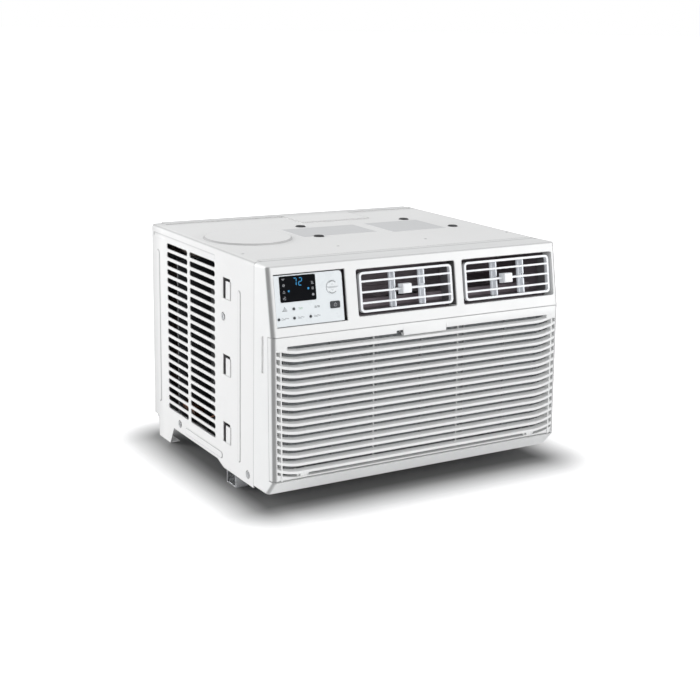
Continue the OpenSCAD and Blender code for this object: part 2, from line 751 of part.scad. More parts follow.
// The depth of a row of coil tubes and the height of the middle of its return bend i
function coil_row(y, row) = y[0] + (row == 0 ? 0.27 : 0.73) * (y[1] - y[0]);
function coil_pitch(z, bends) = (z[1] - z[0]) / bends;
function bend_z(z, bends, i) = z[0] + (i + 0.5) * coil_pitch(z, bends);

// Return bends outside both end plates. On the left, the bends listed as [row, i]
// are left out where a line joins the coil instead
module return_bends(x, y, z, bends, joined) {
  pitch = coil_pitch(z, bends);
  bend_r = pitch / 4;
  for (row = [0, 1], i = [0 : bends - 1], s = [0, 1]) {
    lift = s * pitch / 2;
    if (s == 0 ? len([for (j = joined) if (j == [row, i]) j]) == 0 : i < bends - 1)
      translate([s == 0 ? x[0] : x[1], coil_row(y, row), bend_z(z, bends, i) + lift])
        rotate([0, s * 180, 0]) rotate([90, 0, 0]) rotate([0, 0, 90])
        rotate_extrude(angle = 180) translate([bend_r, 0]) circle(tube_r, $fn = 24);
  }
}

module evaporator_fins() color("#c9d2d6") fin_pack(evap_x, evap_y, evap_z);
evap_bends = 5;
module evaporator_tubes() color("#b87333")
  return_bends(evap_x, evap_y, evap_z, evap_bends, [[1, 0], [1, evap_bends - 1]]);

module foam_seal() color("#3a3d40") {
  t = 10;
  y = [evap_y[0] - 4, evap_y[0] - 0.3];
  difference() {
    slab([evap_x[0] - 8, y[0], evap_z[0] - 3], [evap_x[1] + 8, y[1], evap_z[1] + 6]);
    slab([evap_x[0] - 8 + t, y[0] - 1, evap_z[0] - 3 + t], [evap_x[1] + 8 - t, y[1] + 1, evap_z[1] + 6 - t]);
  }
}

module room_sensor() color("#303438") {
  rod_z(-120, evap_y[0] - 3.2, 2.4, 150, 178);
  slab([-124, evap_y[0] - 1.2, 158], [-116, evap_y[0] - 0.1, 168]);
}

// The volute wall's radius grows with the angle round the wheel
function volute_r(a) = wheel_r + 10 + 26 * a / 360;
volute_start = 95;
function volute_points(grow) = [for (i = [0 : 30]) let (a = i * 11)
  [shaft_x, shaft_z] + (volute_r(a) + grow) * [cos(volute_start + a), sin(volute_start + a)]];

scroll_y = [-130, bulkhead_y - 0.3];
throat_x = [-42, 168];
throat_z = 262;

module volute_2d(grow) {
  polygon(volute_points(grow));
  translate([throat_x[0] - grow + 4, shaft_z]) square([throat_x[1] - throat_x[0] + 2 * grow - 8, throat_z - shaft_z]);
}

module scroll_housing() color("#e4e6e8") {
  wall = 4;
  inlet_r = 66;
  difference() {
    intersection() {
      along_y(scroll_y[0], scroll_y[1]) volute_2d(wall);
      slab([-far, -far, 0], [far, far, throat_z]);
    }
    along_y(scroll_y[0] + wall, scroll_y[1] - wall) volute_2d(0);
    slab([throat_x[0] + 4, scroll_y[0] + wall, throat_z - 10], [throat_x[1] - 4, scroll_y[1] - wall, throat_z + 10]);
    rod_y(shaft_x, shaft_z, inlet_r, scroll_y[0] - 5, scroll_y[0] + 20);
    rod_y(shaft_x, shaft_z, 16, scroll_y[1] - 20, scroll_y[1] + 5);
  }
}

module outlet_duct() color("#eceef0") {
  wall = 3;
  x = [-111, 231];
  y = [-170, scroll_y[1]];
  z = [throat_z + 0.2, 326];
  difference() {
    slab([x[0], y[0], z[0] - 12], [x[1], y[1], z[1]]);
    slab([x[0] + wall, y[0] - 5, z[0] - 12 + wall], [x[1] - wall, y[1] - wall, z[1] - wall]);
    slab([-far, scroll_y[0] - 1, z[0] - 13], [far, 0, z[0]]);
    slab([throat_x[0] + 4, scroll_y[0] + 4, z[0] - 5], [throat_x[1] - 4, scroll_y[1] - 4, z[0] + wall + 5]);
    on_panel() slab([-far, -30, -40], [far, 21, 120]);
  }
  slab([x[0], scroll_y[0] - 1 - wall, z[0] - 12], [x[1], scroll_y[0] - 1, z[0] + wall]);
  for (sx = [[x[0], throat_x[0] + 4], [throat_x[1] - 4, x[1]]])
    slab([sx[0], scroll_y[0] - 1 - eps, z[0]], [sx[1], y[1], z[0] + wall]);
}

module bulkhead() color("#d5d8da") {
  x = side_x - sheet_t - 0.6;
  difference() {
    union() {
      slab([-x, bulkhead_y, pan_z + pan_t], [x, bulkhead_y + 1.2, top_z - sheet_t - 2]);
      both_sides() slab([-x, bulkhead_y - 12, 220], [-x + 1.2, bulkhead_y + 1, 260]);
    }
    rod_y(shaft_x, shaft_z, 20, bulkhead_y - 5, bulkhead_y + 5);
    slab([-222, bulkhead_y - 5, 88], [-192, bulkhead_y + 5, 130]);
    rod_y(harness_at[0], harness_at[1], 6, bulkhead_y - 5, bulkhead_y + 5);
    both_sides() {
      slab([-far, bulkhead_y - 5, 0], [-pan_x + pan_t + 0.3, bulkhead_y + 5, pan_rim + 0.5]);
      rod_x(side_screws[0][0], side_screws[0][1], screw_hole_r, -half_w, -half_w + 12);
    }
  }
}

// ---- fan ----
motor_y = [-38, 34];
shroud_y = 112;

module fan_motor() color("#5b6167") {
  r = 56;
  bell_r = 34;
  boss = 15;
  difference() {
    union() {
      rod_y(shaft_x, shaft_z, r, motor_y[0] + 12, motor_y[1] - 12);
      translate([shaft_x, motor_y[0], shaft_z]) rotate([-90, 0, 0]) cylinder(h = 12 + eps, r1 = bell_r, r2 = r - 3);
      translate([shaft_x, motor_y[1] - 12 - eps, shaft_z]) rotate([-90, 0, 0]) cylinder(h = 12 + eps, r1 = r - 3, r2 = bell_r);
      rod_y(shaft_x, shaft_z, boss, motor_y[0] - 6, motor_y[1] + 6);
    }
    rod_y(shaft_x, shaft_z, shaft_r + running, motor_y[0] - 20, motor_y[1] + 20);
    rod_y(shaft_x, shaft_z, r - 4, motor_y[0] + 16, motor_y[1] - 16);
  }
}

module motor_bracket() color("#b9bdc0") {
  t = 2.5;
  y = [-24, 20];
  grip_r = 56.1;
  x = [shaft_x - 66, shaft_x + 66];
  difference() {
    union() {
      for (px = [x[0], x[1] - t]) slab([px, y[0], pan_z + pan_t], [px + t, y[1], shaft_z + 8]);
      rod_y(shaft_x, shaft_z, grip_r + t, y[0], y[1]);
      for (s = [[x[0], shaft_x - 50], [shaft_x + 50, x[1]]]) slab([s[0], y[0], shaft_z - 4], [s[1], y[1], shaft_z + 4]);
      for (px = [x[0] - 14, x[1] - t]) slab([px, y[0], pan_z + pan_t + 3.5], [px + 14 + t, y[1], pan_z + pan_t + 3.5 + t]);
    }
    rod_y(shaft_x, shaft_z, grip_r, y[0] - 5, y[1] + 5);
    slab([x[0] - 1, y[0] + 8, 90], [x[1] + 1, y[1] - 8, 140]);
    for (yy = [-30, 44]) slab([-60, yy - 0.3, pan_z], [215, yy + 8.3, pan_z + 5.2]);
  }
}

module motor_shaft() color("silver") rod_y(shaft_x, shaft_z, shaft_r, scroll_y[0] + 8, shroud_y + 6);

module blower_wheel() color("#3b4046") {
  y = [scroll_y[0] + 8, scroll_y[1] - 10];
  inner_r = wheel_r - 14;
  blade_t = 1.1;
  difference() {
    union() {
      rod_y(shaft_x, shaft_z, wheel_r, y[1] - 2, y[1]);
      rod_y(shaft_x, shaft_z, 12, y[1] - 26, y[1]);
      difference() {
        rod_y(shaft_x, shaft_z, wheel_r, y[0], y[0] + 3);
        rod_y(shaft_x, shaft_z, inner_r, y[0] - 1, y[0] + 5);
      }
      for (i = [0 : wheel_blades - 1]) translate([shaft_x, 0, shaft_z]) rotate([0, i * 360 / wheel_blades, 0])
        translate([inner_r + 1, 0, 0]) rotate([0, 28, 0]) slab([0, y[0] + 1, -blade_t / 2], [13, y[1] - 1, blade_t / 2]);
    }
    rod_y(shaft_x, shaft_z, shaft_r + eps, y[0] - 5, y[1] + 5);
  }
}

module condenser_fan() color("#2f3439") {
  hub_r = 30;
  y = [74, 106];
  ring_t = 3;
  ring_y = [80, 100];
  blade_t = 2.2;
  difference() {
    union() {
      rod_y(shaft_x, shaft_z, hub_r, y[0], y[1]);
      difference() {
        rod_y(shaft_x, shaft_z, fan_r, ring_y[0], ring_y[1]);
        rod_y(shaft_x, shaft_z, fan_r - ring_t, ring_y[0] - 1, ring_y[1] + 1);
      }
      intersection() {
        rod_y(shaft_x, shaft_z, fan_r - 1, y[0] - 5, y[1] + 5);
        for (i = [0 : fan_blades - 1]) translate([shaft_x, 90, shaft_z]) rotate([0, i * 360 / fan_blades, 0])
          rotate([28, 0, 0]) along_y(-blade_t / 2, blade_t / 2) translate([hub_r - 4, 0])
          polygon([[0, -14], [fan_r - hub_r + 4, -38], [fan_r - hub_r + 6, 30], [0, 14]]);
      }
    }
    rod_y(shaft_x, shaft_z, shaft_r + eps, y[0] - 5, y[1] + 5);
    rod_y(shaft_x, shaft_z, hub_r - 5, y[0] - 1, y[0] + 18);
  }
}

// ---- outdoor side ----
cond_x = [-205, 205];
cond_y = [142, 182];
cond_z = [35, 322];

module condenser_shroud() color("#44494e") {
  ring_r = fan_r + 5;
  t = 2.5;
  x = side_x - sheet_t - 1.5;
  top = top_z - sheet_t - 2;
  rear = cond_y[1] + t + 1;
  difference() {
    union() {
      slab([-x, shroud_y, pan_z + pan_t], [x, shroud_y + t, top]);
      slab([-x, shroud_y, top - t], [x, rear, top]);
      both_sides() slab([-x, rear - t, pan_rim + 2], [cond_x[0] + 3, rear, top]);
      rod_y(shaft_x, shaft_z, ring_r + 3, shroud_y - 22, shroud_y + eps);
    }
    rod_y(shaft_x, shaft_z, ring_r, shroud_y - 30, shroud_y + 5);
    slab([-x - 1, shroud_y - 30, 0], [x + 1, shroud_y + 5, pan_z + 9.5]);
    both_sides() slab([-x - 1, shroud_y - 5, 0], [-pan_x + pan_t + 0.5, shroud_y + 5, pan_rim + 0.5]);
    slab([-x - 1, shroud_y - 5, 290], [-200, shroud_y + 5, 312]);
    rod_y(drier_at[0], drier_at[1], 4, shroud_y - 5, shroud_y + 5);
  }
}

module condenser_fins() color("#c9d2d6") fin_pack(cond_x, cond_y, cond_z);
cond_bends = 7;
module condenser_tubes() color("#b87333")
  return_bends(cond_x, cond_y, cond_z, cond_bends, [[1, 0], [0, cond_bends - 1]]);

module compressor() color("#2b2d30") {
  r = 56;
  z = [pan_z + pad_h + 10, 262];
  wall = 5;
  difference() {
    union() {
      rod_z(compressor_c[0], compressor_c[1], r, z[0], z[1]);
      translate([compressor_c[0], compressor_c[1], z[1] - eps]) cylinder(h = 9, r1 = r, r2 = r - 12);
      rod_z(compressor_c[0], compressor_c[1], r - 12, z[1], z[1] + 14);
      rod_z(compressor_c[0], compressor_c[1], 5, z[1], z[1] + 22);
      difference() {
        rod_z(compressor_c[0], compressor_c[1], stud_pcd_r + 9, z[0] - 4, z[0]);
        for (i = [0 : 2]) rotate_about(compressor_c, 120 * i + 30)
          translate([compressor_c[0] + 62, compressor_c[1] - 60, z[0] - 10]) cube([60, 120, 20]);
      }
    }
    rod_z(compressor_c[0], compressor_c[1], r - wall, z[0] + 40, z[1] - 4);
    for (i = [0 : 2]) rod_z(stud_at(i)[0], stud_at(i)[1], 7, z[0] - 10, z[0] + 5);
  }
}
module rotate_about(c, a) translate([c[0], c[1], 0]) rotate([0, 0, a]) translate([-c[0], -c[1], 0]) children();

module compressor_grommets() color("#1c1d1f") for (i = [0 : 2]) {
  p = stud_at(i);
  difference() {
    union() {
      rod_z(p[0], p[1], 11, pan_z + pad_h + 0.1, pan_z + pad_h + 5.8);
      rod_z(p[0], p[1], 6.8, pan_z + pad_h + 0.1, pan_z + pad_h + 12);
    }
    rod_z(p[0], p[1], stud_r + 0.3, pan_z, pan_z + pad_h + 20);
  }
}

module compressor_bolts() color("silver") for (i = [0 : 2]) {
  p = stud_at(i);
  rod_z(p[0], p[1], stud_r, pan_z + 0.5, pan_z + pad_h + 15);
  translate([p[0], p[1], pan_z + pad_h + 12.2]) cylinder(h = 5, r = 6.5, $fn = 6);
}

accumulator_c = [-80, -13];
module accumulator() color("#2b2d30") {
  r = 23;
  z = [96, 206];
  neck = 12;
  translate([accumulator_c[0], accumulator_c[1], 0]) rotate_extrude()
    polygon([[0, z[0] - neck], [7, z[0] - neck], [r, z[0]], [r, z[1]], [6, z[1] + neck], [0, z[1] + neck]]);
  elbow = [[accumulator_c[0], accumulator_c[1], z[0] - 10], [accumulator_c[0], accumulator_c[1], 72],
    [compressor_c[0] + 57.5, compressor_c[1] - 21, 72]];
  pipe(eased(elbow, 12), 5);
}

// Where a line joins the left end of a coil, below (-1) or above (1) the middle of bend i
function joint_at(x, y, z, bends, row, i, side) =
  [x[0] - 0.5, coil_row(y, row), bend_z(z, bends, i) + side * coil_pitch(z, bends) / 4];

suction_y = -35;
module suction_line() color("#b87333") {
  start = joint_at(evap_x, evap_y, evap_z, evap_bends, 1, evap_bends - 1, 1);
  top = [accumulator_c[0], accumulator_c[1], 218.5];
  pipe(eased([start, [-222, start[1], start[2]], [-222, -120, 110], [-206, -75, 108], [-206, suction_y, 108],
    [-150, suction_y, 240], [top[0], suction_y, 250], top + [0, 0, 26], top], 14), tube_r);
}

module discharge_line() color("#b87333") {
  end = joint_at(cond_x, cond_y, cond_z, cond_bends, 0, cond_bends - 1, 1);
  pipe(eased([[-156, 29, 284.5], [-156, 29, 303], [-196, 60, 303], [-214, 96, 301], [-214, 120, 301],
    [-219, end[1], end[2]], end], 14), tube_r - 1);
}

drier_at = [-221, 70];
module capillary_line() color("#b87333") {
  coil_c = [-214, -112, 60];
  turn_r = 11;
  turns = 4;
  per_turn = 12;
  wire_r = 1.4;
  rise = 3.4;
  coil = [for (i = [0 : turns * per_turn]) let (a = 360 * i / per_turn)
    coil_c + [turn_r * cos(a), turn_r * sin(a), rise * i / per_turn]];
  start = joint_at(evap_x, evap_y, evap_z, evap_bends, 1, 0, -1);
  lead_out = [[-205, -80, 97], [-205, -30, 97], [drier_at[0], 30, drier_at[1]], [drier_at[0], 64, drier_at[1]]];
  pipe(concat([start, start - [8, 0, 0], [-206, -128, 56]], coil, eased(lead_out, 8)), wire_r, 8);
}

module filter_drier() color("#b87333") {
  y = [64.2, 106];
  end = joint_at(cond_x, cond_y, cond_z, cond_bends, 1, 0, 1);
  rod_y(drier_at[0], drier_at[1], 8, y[0], y[1]);
  pipe(eased([[drier_at[0], y[1] - eps, drier_at[1]], [drier_at[0], end[1] - 24, drier_at[1]],
    [drier_at[0], end[1], end[2]], end], 12), 3);
}

module wire_harness() color("#d8d8d8") {
  y = -34;
  pipe(eased([[harness_at[0], box_back_y - 3, harness_at[1]], [harness_at[0], y, harness_at[1]],
    [-45, y, harness_at[1]], [-45, y, shaft_z], [shaft_x - 47, y, shaft_z]], 14), 3);
}

cabinet();
base_pan();
front_foot_left();
front_foot_right();
front_bezel();
front_grille();
filter_frame();
filter_mesh();
vent_frame_left();
vent_frame_right();
vane_left_a();
vane_left_b();
vane_right_a();
vane_right_b();
vane_slider_left();
vane_slider_right();
control_overlay();
display_window();
power_key();
temp_up_key();
temp_down_key();
timer_key();
mode_key();
fan_key();
sleep_key();
control_board();
control_box();
capacitor();
evaporator_fins();
evaporator_tubes();
condenser_fins();
condenser_tubes();
compressor();
accumulator();
compressor_grommets();
compressor_bolts();
suction_line();
discharge_line();
capillary_line();
filter_drier();
scroll_housing();
outlet_duct();
bulkhead();
condenser_shroud();
fan_motor();
motor_bracket();
motor_shaft();
blower_wheel();
condenser_fan();
top_plugs();
top_labels();
drain_plug();
cord_grommet();
cabinet_screws();
foam_seal();
room_sensor();
wire_harness();
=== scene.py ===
"""The looks of a window air conditioner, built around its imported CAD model.

Places are in metres, in the model's own frame: +X is right seen from the room, -Y faces the
room, +Z is up, and the origin is on the floor under the middle of the box. Shapes that follow
the CAD's own numbers are written in millimetres, and become metres as their points are made.
"""
import json
import math

import bmesh
import bpy
from mathutils import Matrix, Vector


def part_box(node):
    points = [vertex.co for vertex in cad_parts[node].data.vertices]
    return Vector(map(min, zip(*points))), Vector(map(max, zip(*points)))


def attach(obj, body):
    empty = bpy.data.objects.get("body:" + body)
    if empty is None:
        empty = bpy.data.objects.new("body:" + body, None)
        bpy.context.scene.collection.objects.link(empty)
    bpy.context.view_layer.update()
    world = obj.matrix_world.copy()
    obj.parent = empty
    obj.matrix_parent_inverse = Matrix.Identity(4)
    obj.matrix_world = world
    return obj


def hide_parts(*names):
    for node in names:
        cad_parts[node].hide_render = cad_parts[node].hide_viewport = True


MM = 0.001
# The Y of the seam between the steel cabinet and the moulded front
SEAM_Y = -0.1419
# Where the sloping upper panel starts, as Y and Z in millimetres, and its slope's cosine and sine
PANEL_FOOT = (-194.9, 241.2)
PANEL_TILT = (0.98340, 0.18147)

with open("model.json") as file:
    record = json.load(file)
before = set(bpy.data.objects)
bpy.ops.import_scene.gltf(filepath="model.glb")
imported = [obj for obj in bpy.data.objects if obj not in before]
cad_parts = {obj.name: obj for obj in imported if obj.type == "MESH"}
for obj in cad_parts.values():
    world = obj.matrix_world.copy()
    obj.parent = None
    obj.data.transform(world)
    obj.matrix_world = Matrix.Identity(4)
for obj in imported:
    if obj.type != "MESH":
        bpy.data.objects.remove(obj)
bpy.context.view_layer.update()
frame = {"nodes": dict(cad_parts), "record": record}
nodes = frame["nodes"]


# ---- camera, floor and light ------------------------------------------------------------
CAMERA_AZIMUTH = math.radians(-31.215)
CAMERA_ELEVATION = math.radians(14.563)
CAMERA_ROLL = math.radians(1.288)
CAMERA_DISTANCE = 1.96178
CAMERA_TARGET = Vector((0.002997, 0.0067, 0.15194))
CAMERA_LENS = 66.43
SENSOR_WIDTH = 36.0

# Each light's place, side and power
LIGHTS = {
    "light_back_left": ((-2.6, 2.9, 1.1), 1.6, 100),
    "light_front_right": ((2.6, -2.6, 0.9), 1.4, 44),
    "light_front_left": ((-1.3, -3.4, 1.3), 1.4, 34),
    "light_top": ((0.2, 0.3, 2.9), 1.8, 22),
}
LIGHT_AIM = Vector((0, 0, 0.15))
ROOM_LIGHT = (0.42, 0.424, 0.43, 1)
BACKDROP = (1.0, 1.0, 1.0, 1)
FLOOR_HALF = 40


def make_camera():
    """A camera that looks at the target from the azimuth, elevation and distance above."""
    a, e, roll = CAMERA_AZIMUTH, CAMERA_ELEVATION, CAMERA_ROLL
    back = Vector((math.sin(a) * math.cos(e), -math.cos(a) * math.cos(e), math.sin(e)))
    level = Vector((math.cos(a), math.sin(a), 0))
    upright = back.cross(level)
    right = math.cos(roll) * level + math.sin(roll) * upright
    up = math.cos(roll) * upright - math.sin(roll) * level
    data = bpy.data.cameras.new("camera")
    data.lens = CAMERA_LENS
    data.sensor_width = SENSOR_WIDTH
    data.clip_start = 0.05
    data.clip_end = 100
    camera = bpy.data.objects.new("camera", data)
    turn = Matrix((right, up, back)).transposed().to_4x4()
    camera.matrix_world = Matrix.Translation(CAMERA_TARGET + back * CAMERA_DISTANCE) @ turn
    bpy.context.scene.collection.objects.link(camera)
    bpy.context.scene.camera = camera


def area_light(name, spot, side, power):
    """A square light that points at the object."""
    data = bpy.data.lights.new(name, "AREA")
    data.shape = "RECTANGLE"
    data.size = side
    data.size_y = side
    data.energy = power
    light = bpy.data.objects.new(name, data)
    light.location = spot
    light.rotation_mode = "QUATERNION"
    light.rotation_quaternion = (LIGHT_AIM - Vector(spot)).to_track_quat("-Z", "Y")
    bpy.context.scene.collection.objects.link(light)


def make_stage():
    """A pale floor, a room that lights evenly but looks white, and four soft lights."""
    scene = bpy.context.scene
    scene.view_settings.view_transform = "Standard"
    world = bpy.data.worlds.new("studio")
    scene.world = world
    world.use_nodes = True
    tree = world.node_tree
    background = tree.nodes["Background"]
    background.inputs["Strength"].default_value = 1.0
    path = tree.nodes.new("ShaderNodeLightPath")
    pick = tree.nodes.new("ShaderNodeMix")
    pick.data_type = "RGBA"
    pick.inputs["A"].default_value = ROOM_LIGHT
    pick.inputs["B"].default_value = BACKDROP
    tree.links.new(path.outputs["Is Camera Ray"], pick.inputs["Factor"])
    tree.links.new(pick.outputs["Result"], background.inputs["Color"])

    for name, (spot, side, power) in LIGHTS.items():
        area_light(name, spot, side, power)

    bm = bmesh.new()
    bmesh.ops.create_grid(bm, x_segments=8, y_segments=8, size=FLOOR_HALF)
    floor = new_object("floor", bm)
    floor.data.materials.append(floor_material())


# ---- mesh tools -------------------------------------------------------------------------
def new_object(name, bm, smooth_angle=None):
    """A linked object from a bmesh, smooth where faces meet at less than the angle."""
    if smooth_angle is not None:
        limit = math.radians(smooth_angle)
        for edge in bm.edges:
            edge.smooth = len(edge.link_faces) == 2 and edge.calc_face_angle(0) < limit
        for face in bm.faces:
            face.smooth = True
    mesh = bpy.data.meshes.new(name)
    bm.to_mesh(mesh)
    bm.free()
    obj = bpy.data.objects.new(name, mesh)
    bpy.context.scene.collection.objects.link(obj)
    return obj


def face_outwards(bm):
    """The same bmesh, with every face's normal pointing out of its solid."""
    bmesh.ops.recalc_face_normals(bm, faces=bm.faces)
    return bm


def loft(bm, rings):
    """A solid from rings of as many points each, with both ends capped."""
    rows = [[bm.verts.new(p) for p in ring] for ring in rings]
    n = len(rows[0])
    for a, b in zip(rows, rows[1:]):
        for i in range(n):
            j = (i + 1) % n
            bm.faces.new((a[i], a[j], b[j], b[i]))
    bm.faces.new(rows[0][::-1])
    bm.faces.new(rows[-1])


def spread(a, b, n):
    """Evenly spaced numbers from a to b, with n steps between them."""
    return [a + (b - a) * i / n for i in range(n + 1)]


def circle_2d(a, b, r, n):
    """Points around a circle."""
    return [(a + r * math.cos(2 * math.pi * k / n), b + r * math.sin(2 * math.pi * k / n))
            for k in range(n)]


def block_faces(bm, corners):
    """The six sides of a block, from its corners with the last direction changing first."""
    verts = [bm.verts.new(p) for p in corners]
    for side in ((0, 1, 3, 2), (4, 6, 7, 5), (0, 4, 5, 1), (2, 3, 7, 6), (0, 2, 6, 4), (1, 5, 7, 3)):
        bm.faces.new([verts[i] for i in side])


def place(piece, body, slot, *stands_for):
    """Attach a new piece to its body and hide the CAD nodes that it stands for. The slot is not used."""
    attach(piece, body)
    if stands_for:
        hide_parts(*stands_for)


# ---- materials --------------------------------------------------------------------------
# A noise texture's value hardly leaves this range
NOISE_LOW, NOISE_HIGH = 0.3, 0.7
# The seam's shadow line: half its width, its colour and how strong it is
SEAM_HALF, SEAM_GREY, SEAM_AMOUNT = 0.0018, 0.25, 0.6
# Painted shade on rounded upright corners: its grey and how strong it is
CORNER_GREY, CORNER_AMOUNT = 0.20, 0.8


def grey(level):
    """A neutral colour."""
    return (level, level, level)


def darker(color, part):
    """The colour at a part of its brightness."""
    return tuple(c * part for c in color)


class Shader:
    """A principled material with its nodes added one by one."""

    def __init__(self, name, color, roughness, metallic=0.0):
        self.material = bpy.data.materials.new(name)
        self.material.use_nodes = True
        self.tree = self.material.node_tree
        self.main = self.tree.nodes["Principled BSDF"]
        self.main.inputs["Base Color"].default_value = (*color, 1)
        self.main.inputs["Roughness"].default_value = roughness
        self.main.inputs["Metallic"].default_value = metallic
        self.color = color
        self.roughness = roughness
        self.coords = self.add("ShaderNodeTexCoord").outputs["Object"]

    def add(self, kind, **settings):
        node = self.tree.nodes.new(kind)
        for key, value in settings.items():
            setattr(node, key, value)
        return node

    def link(self, a, b):
        self.tree.links.new(a, b)

    def noise(self, scale, detail=3.0, roughness=0.55, stretch=(1, 1, 1)):
        mapping = self.add("ShaderNodeMapping")
        mapping.inputs["Scale"].default_value = stretch
        self.link(self.coords, mapping.inputs["Vector"])
        node = self.add("ShaderNodeTexNoise")
        node.inputs["Scale"].default_value = scale
        node.inputs["Detail"].default_value = detail
        node.inputs["Roughness"].default_value = roughness
        self.link(mapping.outputs["Vector"], node.inputs["Vector"])
        return node.outputs["Fac"]

    def ramp(self, value, low, high, start=0.0, end=1.0):
        """The value brought from start..end to low..high, and held there beyond."""
        node = self.add("ShaderNodeMapRange")
        node.inputs["From Min"].default_value = start
        node.inputs["From Max"].default_value = end
        node.inputs["To Min"].default_value = low
        node.inputs["To Max"].default_value = high
        self.link(value, node.inputs["Value"])
        return node.outputs["Result"]

    def combine(self, operation, a, b):
        node = self.add("ShaderNodeMath", operation=operation)
        self.link(a, node.inputs[0])
        self.link(b, node.inputs[1])
        return node.outputs[0]

    def tint(self, value, other, amount):
        """Mix the base colour towards another by a 0-1 value times an amount."""
        mix = self.add("ShaderNodeMix", data_type="RGBA")
        factor = self.add("ShaderNodeMath", operation="MULTIPLY")
        factor.inputs[1].default_value = amount
        self.link(value, factor.inputs[0])
        self.link(factor.outputs[0], mix.inputs["Factor"])
        incoming = self.main.inputs["Base Color"].links
        if incoming:
            self.link(incoming[0].from_socket, mix.inputs["A"])
        else:
            mix.inputs["A"].default_value = (*self.color, 1)
        mix.inputs["B"].default_value = (*other, 1)
        self.link(mix.outputs["Result"], self.main.inputs["Base Color"])

    def mottle(self, noise, other, amount, start=0.35, end=0.75):
        """Cloudy patches of another colour."""
        self.tint(self.ramp(noise, 0.0, 1.0, start, end), other, amount)

    def parts_of(self, vector):
        """The X, Y and Z of a vector."""
        node = self.add("ShaderNodeSeparateXYZ")
        self.link(vector, node.inputs[0])
        return node.outputs

    def normal(self):
        return self.add("ShaderNodeNewGeometry").outputs["Normal"]

    def facing(self):
        """How squarely the surface faces each of the three main directions, from 0 to 1."""
        size = self.add("ShaderNodeVectorMath", operation="ABSOLUTE")
        self.link(self.normal(), size.inputs[0])
        return self.parts_of(size.outputs["Vector"])

    def slant_mask(self):
        """1 where the surface slants between the main directions, 0 where it is square to one."""
        x, y, z = self.facing()
        most = self.combine("MAXIMUM", self.combine("MAXIMUM", x, y), z)
        return self.ramp(most, 1.0, 0.0, start=0.70, end=0.97)

    def upright_corner_mask(self):
        """1 on the middle of a rounded upright corner."""
        x, y, z = self.facing()
        return self.ramp(self.combine("MULTIPLY", x, y), 0.0, 1.0, start=0.18, end=0.42)

    def underside_mask(self):
        """1 where the surface faces somewhat downwards."""
        return self.ramp(self.parts_of(self.normal())["Z"], 1.0, 0.0, start=-0.55, end=-0.12)

    def front_top_mask(self):
        """1 on an edge that turns from the front to the top."""
        both = self.combine("MULTIPLY", self.facing()["Y"], self.parts_of(self.normal())["Z"])
        return self.ramp(both, 0.0, 1.0, start=0.24, end=0.44)

    def seam_mask(self):
        """1 along the seam between the cabinet and the front, fading out to both sides."""
        off = self.add("ShaderNodeMath", operation="SUBTRACT")
        off.inputs[1].default_value = SEAM_Y
        self.link(self.parts_of(self.coords)["Y"], off.inputs[0])
        size = self.add("ShaderNodeMath", operation="ABSOLUTE")
        self.link(off.outputs[0], size.inputs[0])
        return self.ramp(size.outputs[0], 1.0, 0.0, SEAM_HALF * 0.4, SEAM_HALF)

    def along(self, direction, start, end):
        """0 to 1 between two distances along a direction, in metres."""
        node = self.add("ShaderNodeVectorMath", operation="DOT_PRODUCT")
        node.inputs[1].default_value = direction
        self.link(self.coords, node.inputs[0])
        return self.ramp(node.outputs["Value"], 0.0, 1.0, start, end)

    def panel_depth(self, start, end):
        """0 to 1 between two depths in millimetres behind the sloping upper panel."""
        c, s = PANEL_TILT
        foot = PANEL_FOOT[0] * c - PANEL_FOOT[1] * s
        return self.along((0, c, -s), (foot + start) * MM, (foot + end) * MM)

    def panel_height(self, start, end):
        """0 to 1 between two heights in millimetres up the sloping upper panel."""
        c, s = PANEL_TILT
        foot = PANEL_FOOT[0] * s + PANEL_FOOT[1] * c
        return self.along((0, s, c), (foot + start) * MM, (foot + end) * MM)

    def panel_across(self, start, end):
        """0 to 1 between two places across the object in millimetres."""
        return self.along((1, 0, 0), start * MM, end * MM)

    def edge_mask(self, radius):
        """0 on flat faces, rising to 1 on edges."""
        bevel = self.add("ShaderNodeBevel", samples=4)
        bevel.inputs["Radius"].default_value = radius
        dot = self.add("ShaderNodeVectorMath", operation="DOT_PRODUCT")
        self.link(bevel.outputs["Normal"], dot.inputs[0])
        self.link(self.normal(), dot.inputs[1])
        return self.ramp(dot.outputs["Value"], 1.0, 0.0, 2 / 3, 1.0)

    def vary_roughness(self, noise, by):
        low, high = self.roughness - by, self.roughness + by
        self.link(self.ramp(noise, low, high, NOISE_LOW, NOISE_HIGH), self.main.inputs["Roughness"])

    def bump(self, value, depth, strength):
        node = self.add("ShaderNodeBump")
        node.inputs["Distance"].default_value = depth
        node.inputs["Strength"].default_value = strength
        self.link(value, node.inputs["Height"])
        incoming = self.main.inputs["Normal"].links
        if incoming:
            self.link(incoming[0].from_socket, node.inputs["Normal"])
        self.link(node.outputs["Normal"], self.main.inputs["Normal"])

    def round_edges(self, radius):
        node = self.add("ShaderNodeBevel", samples=6)
        node.inputs["Radius"].default_value = radius
        self.link(node.outputs["Normal"], self.main.inputs["Normal"])


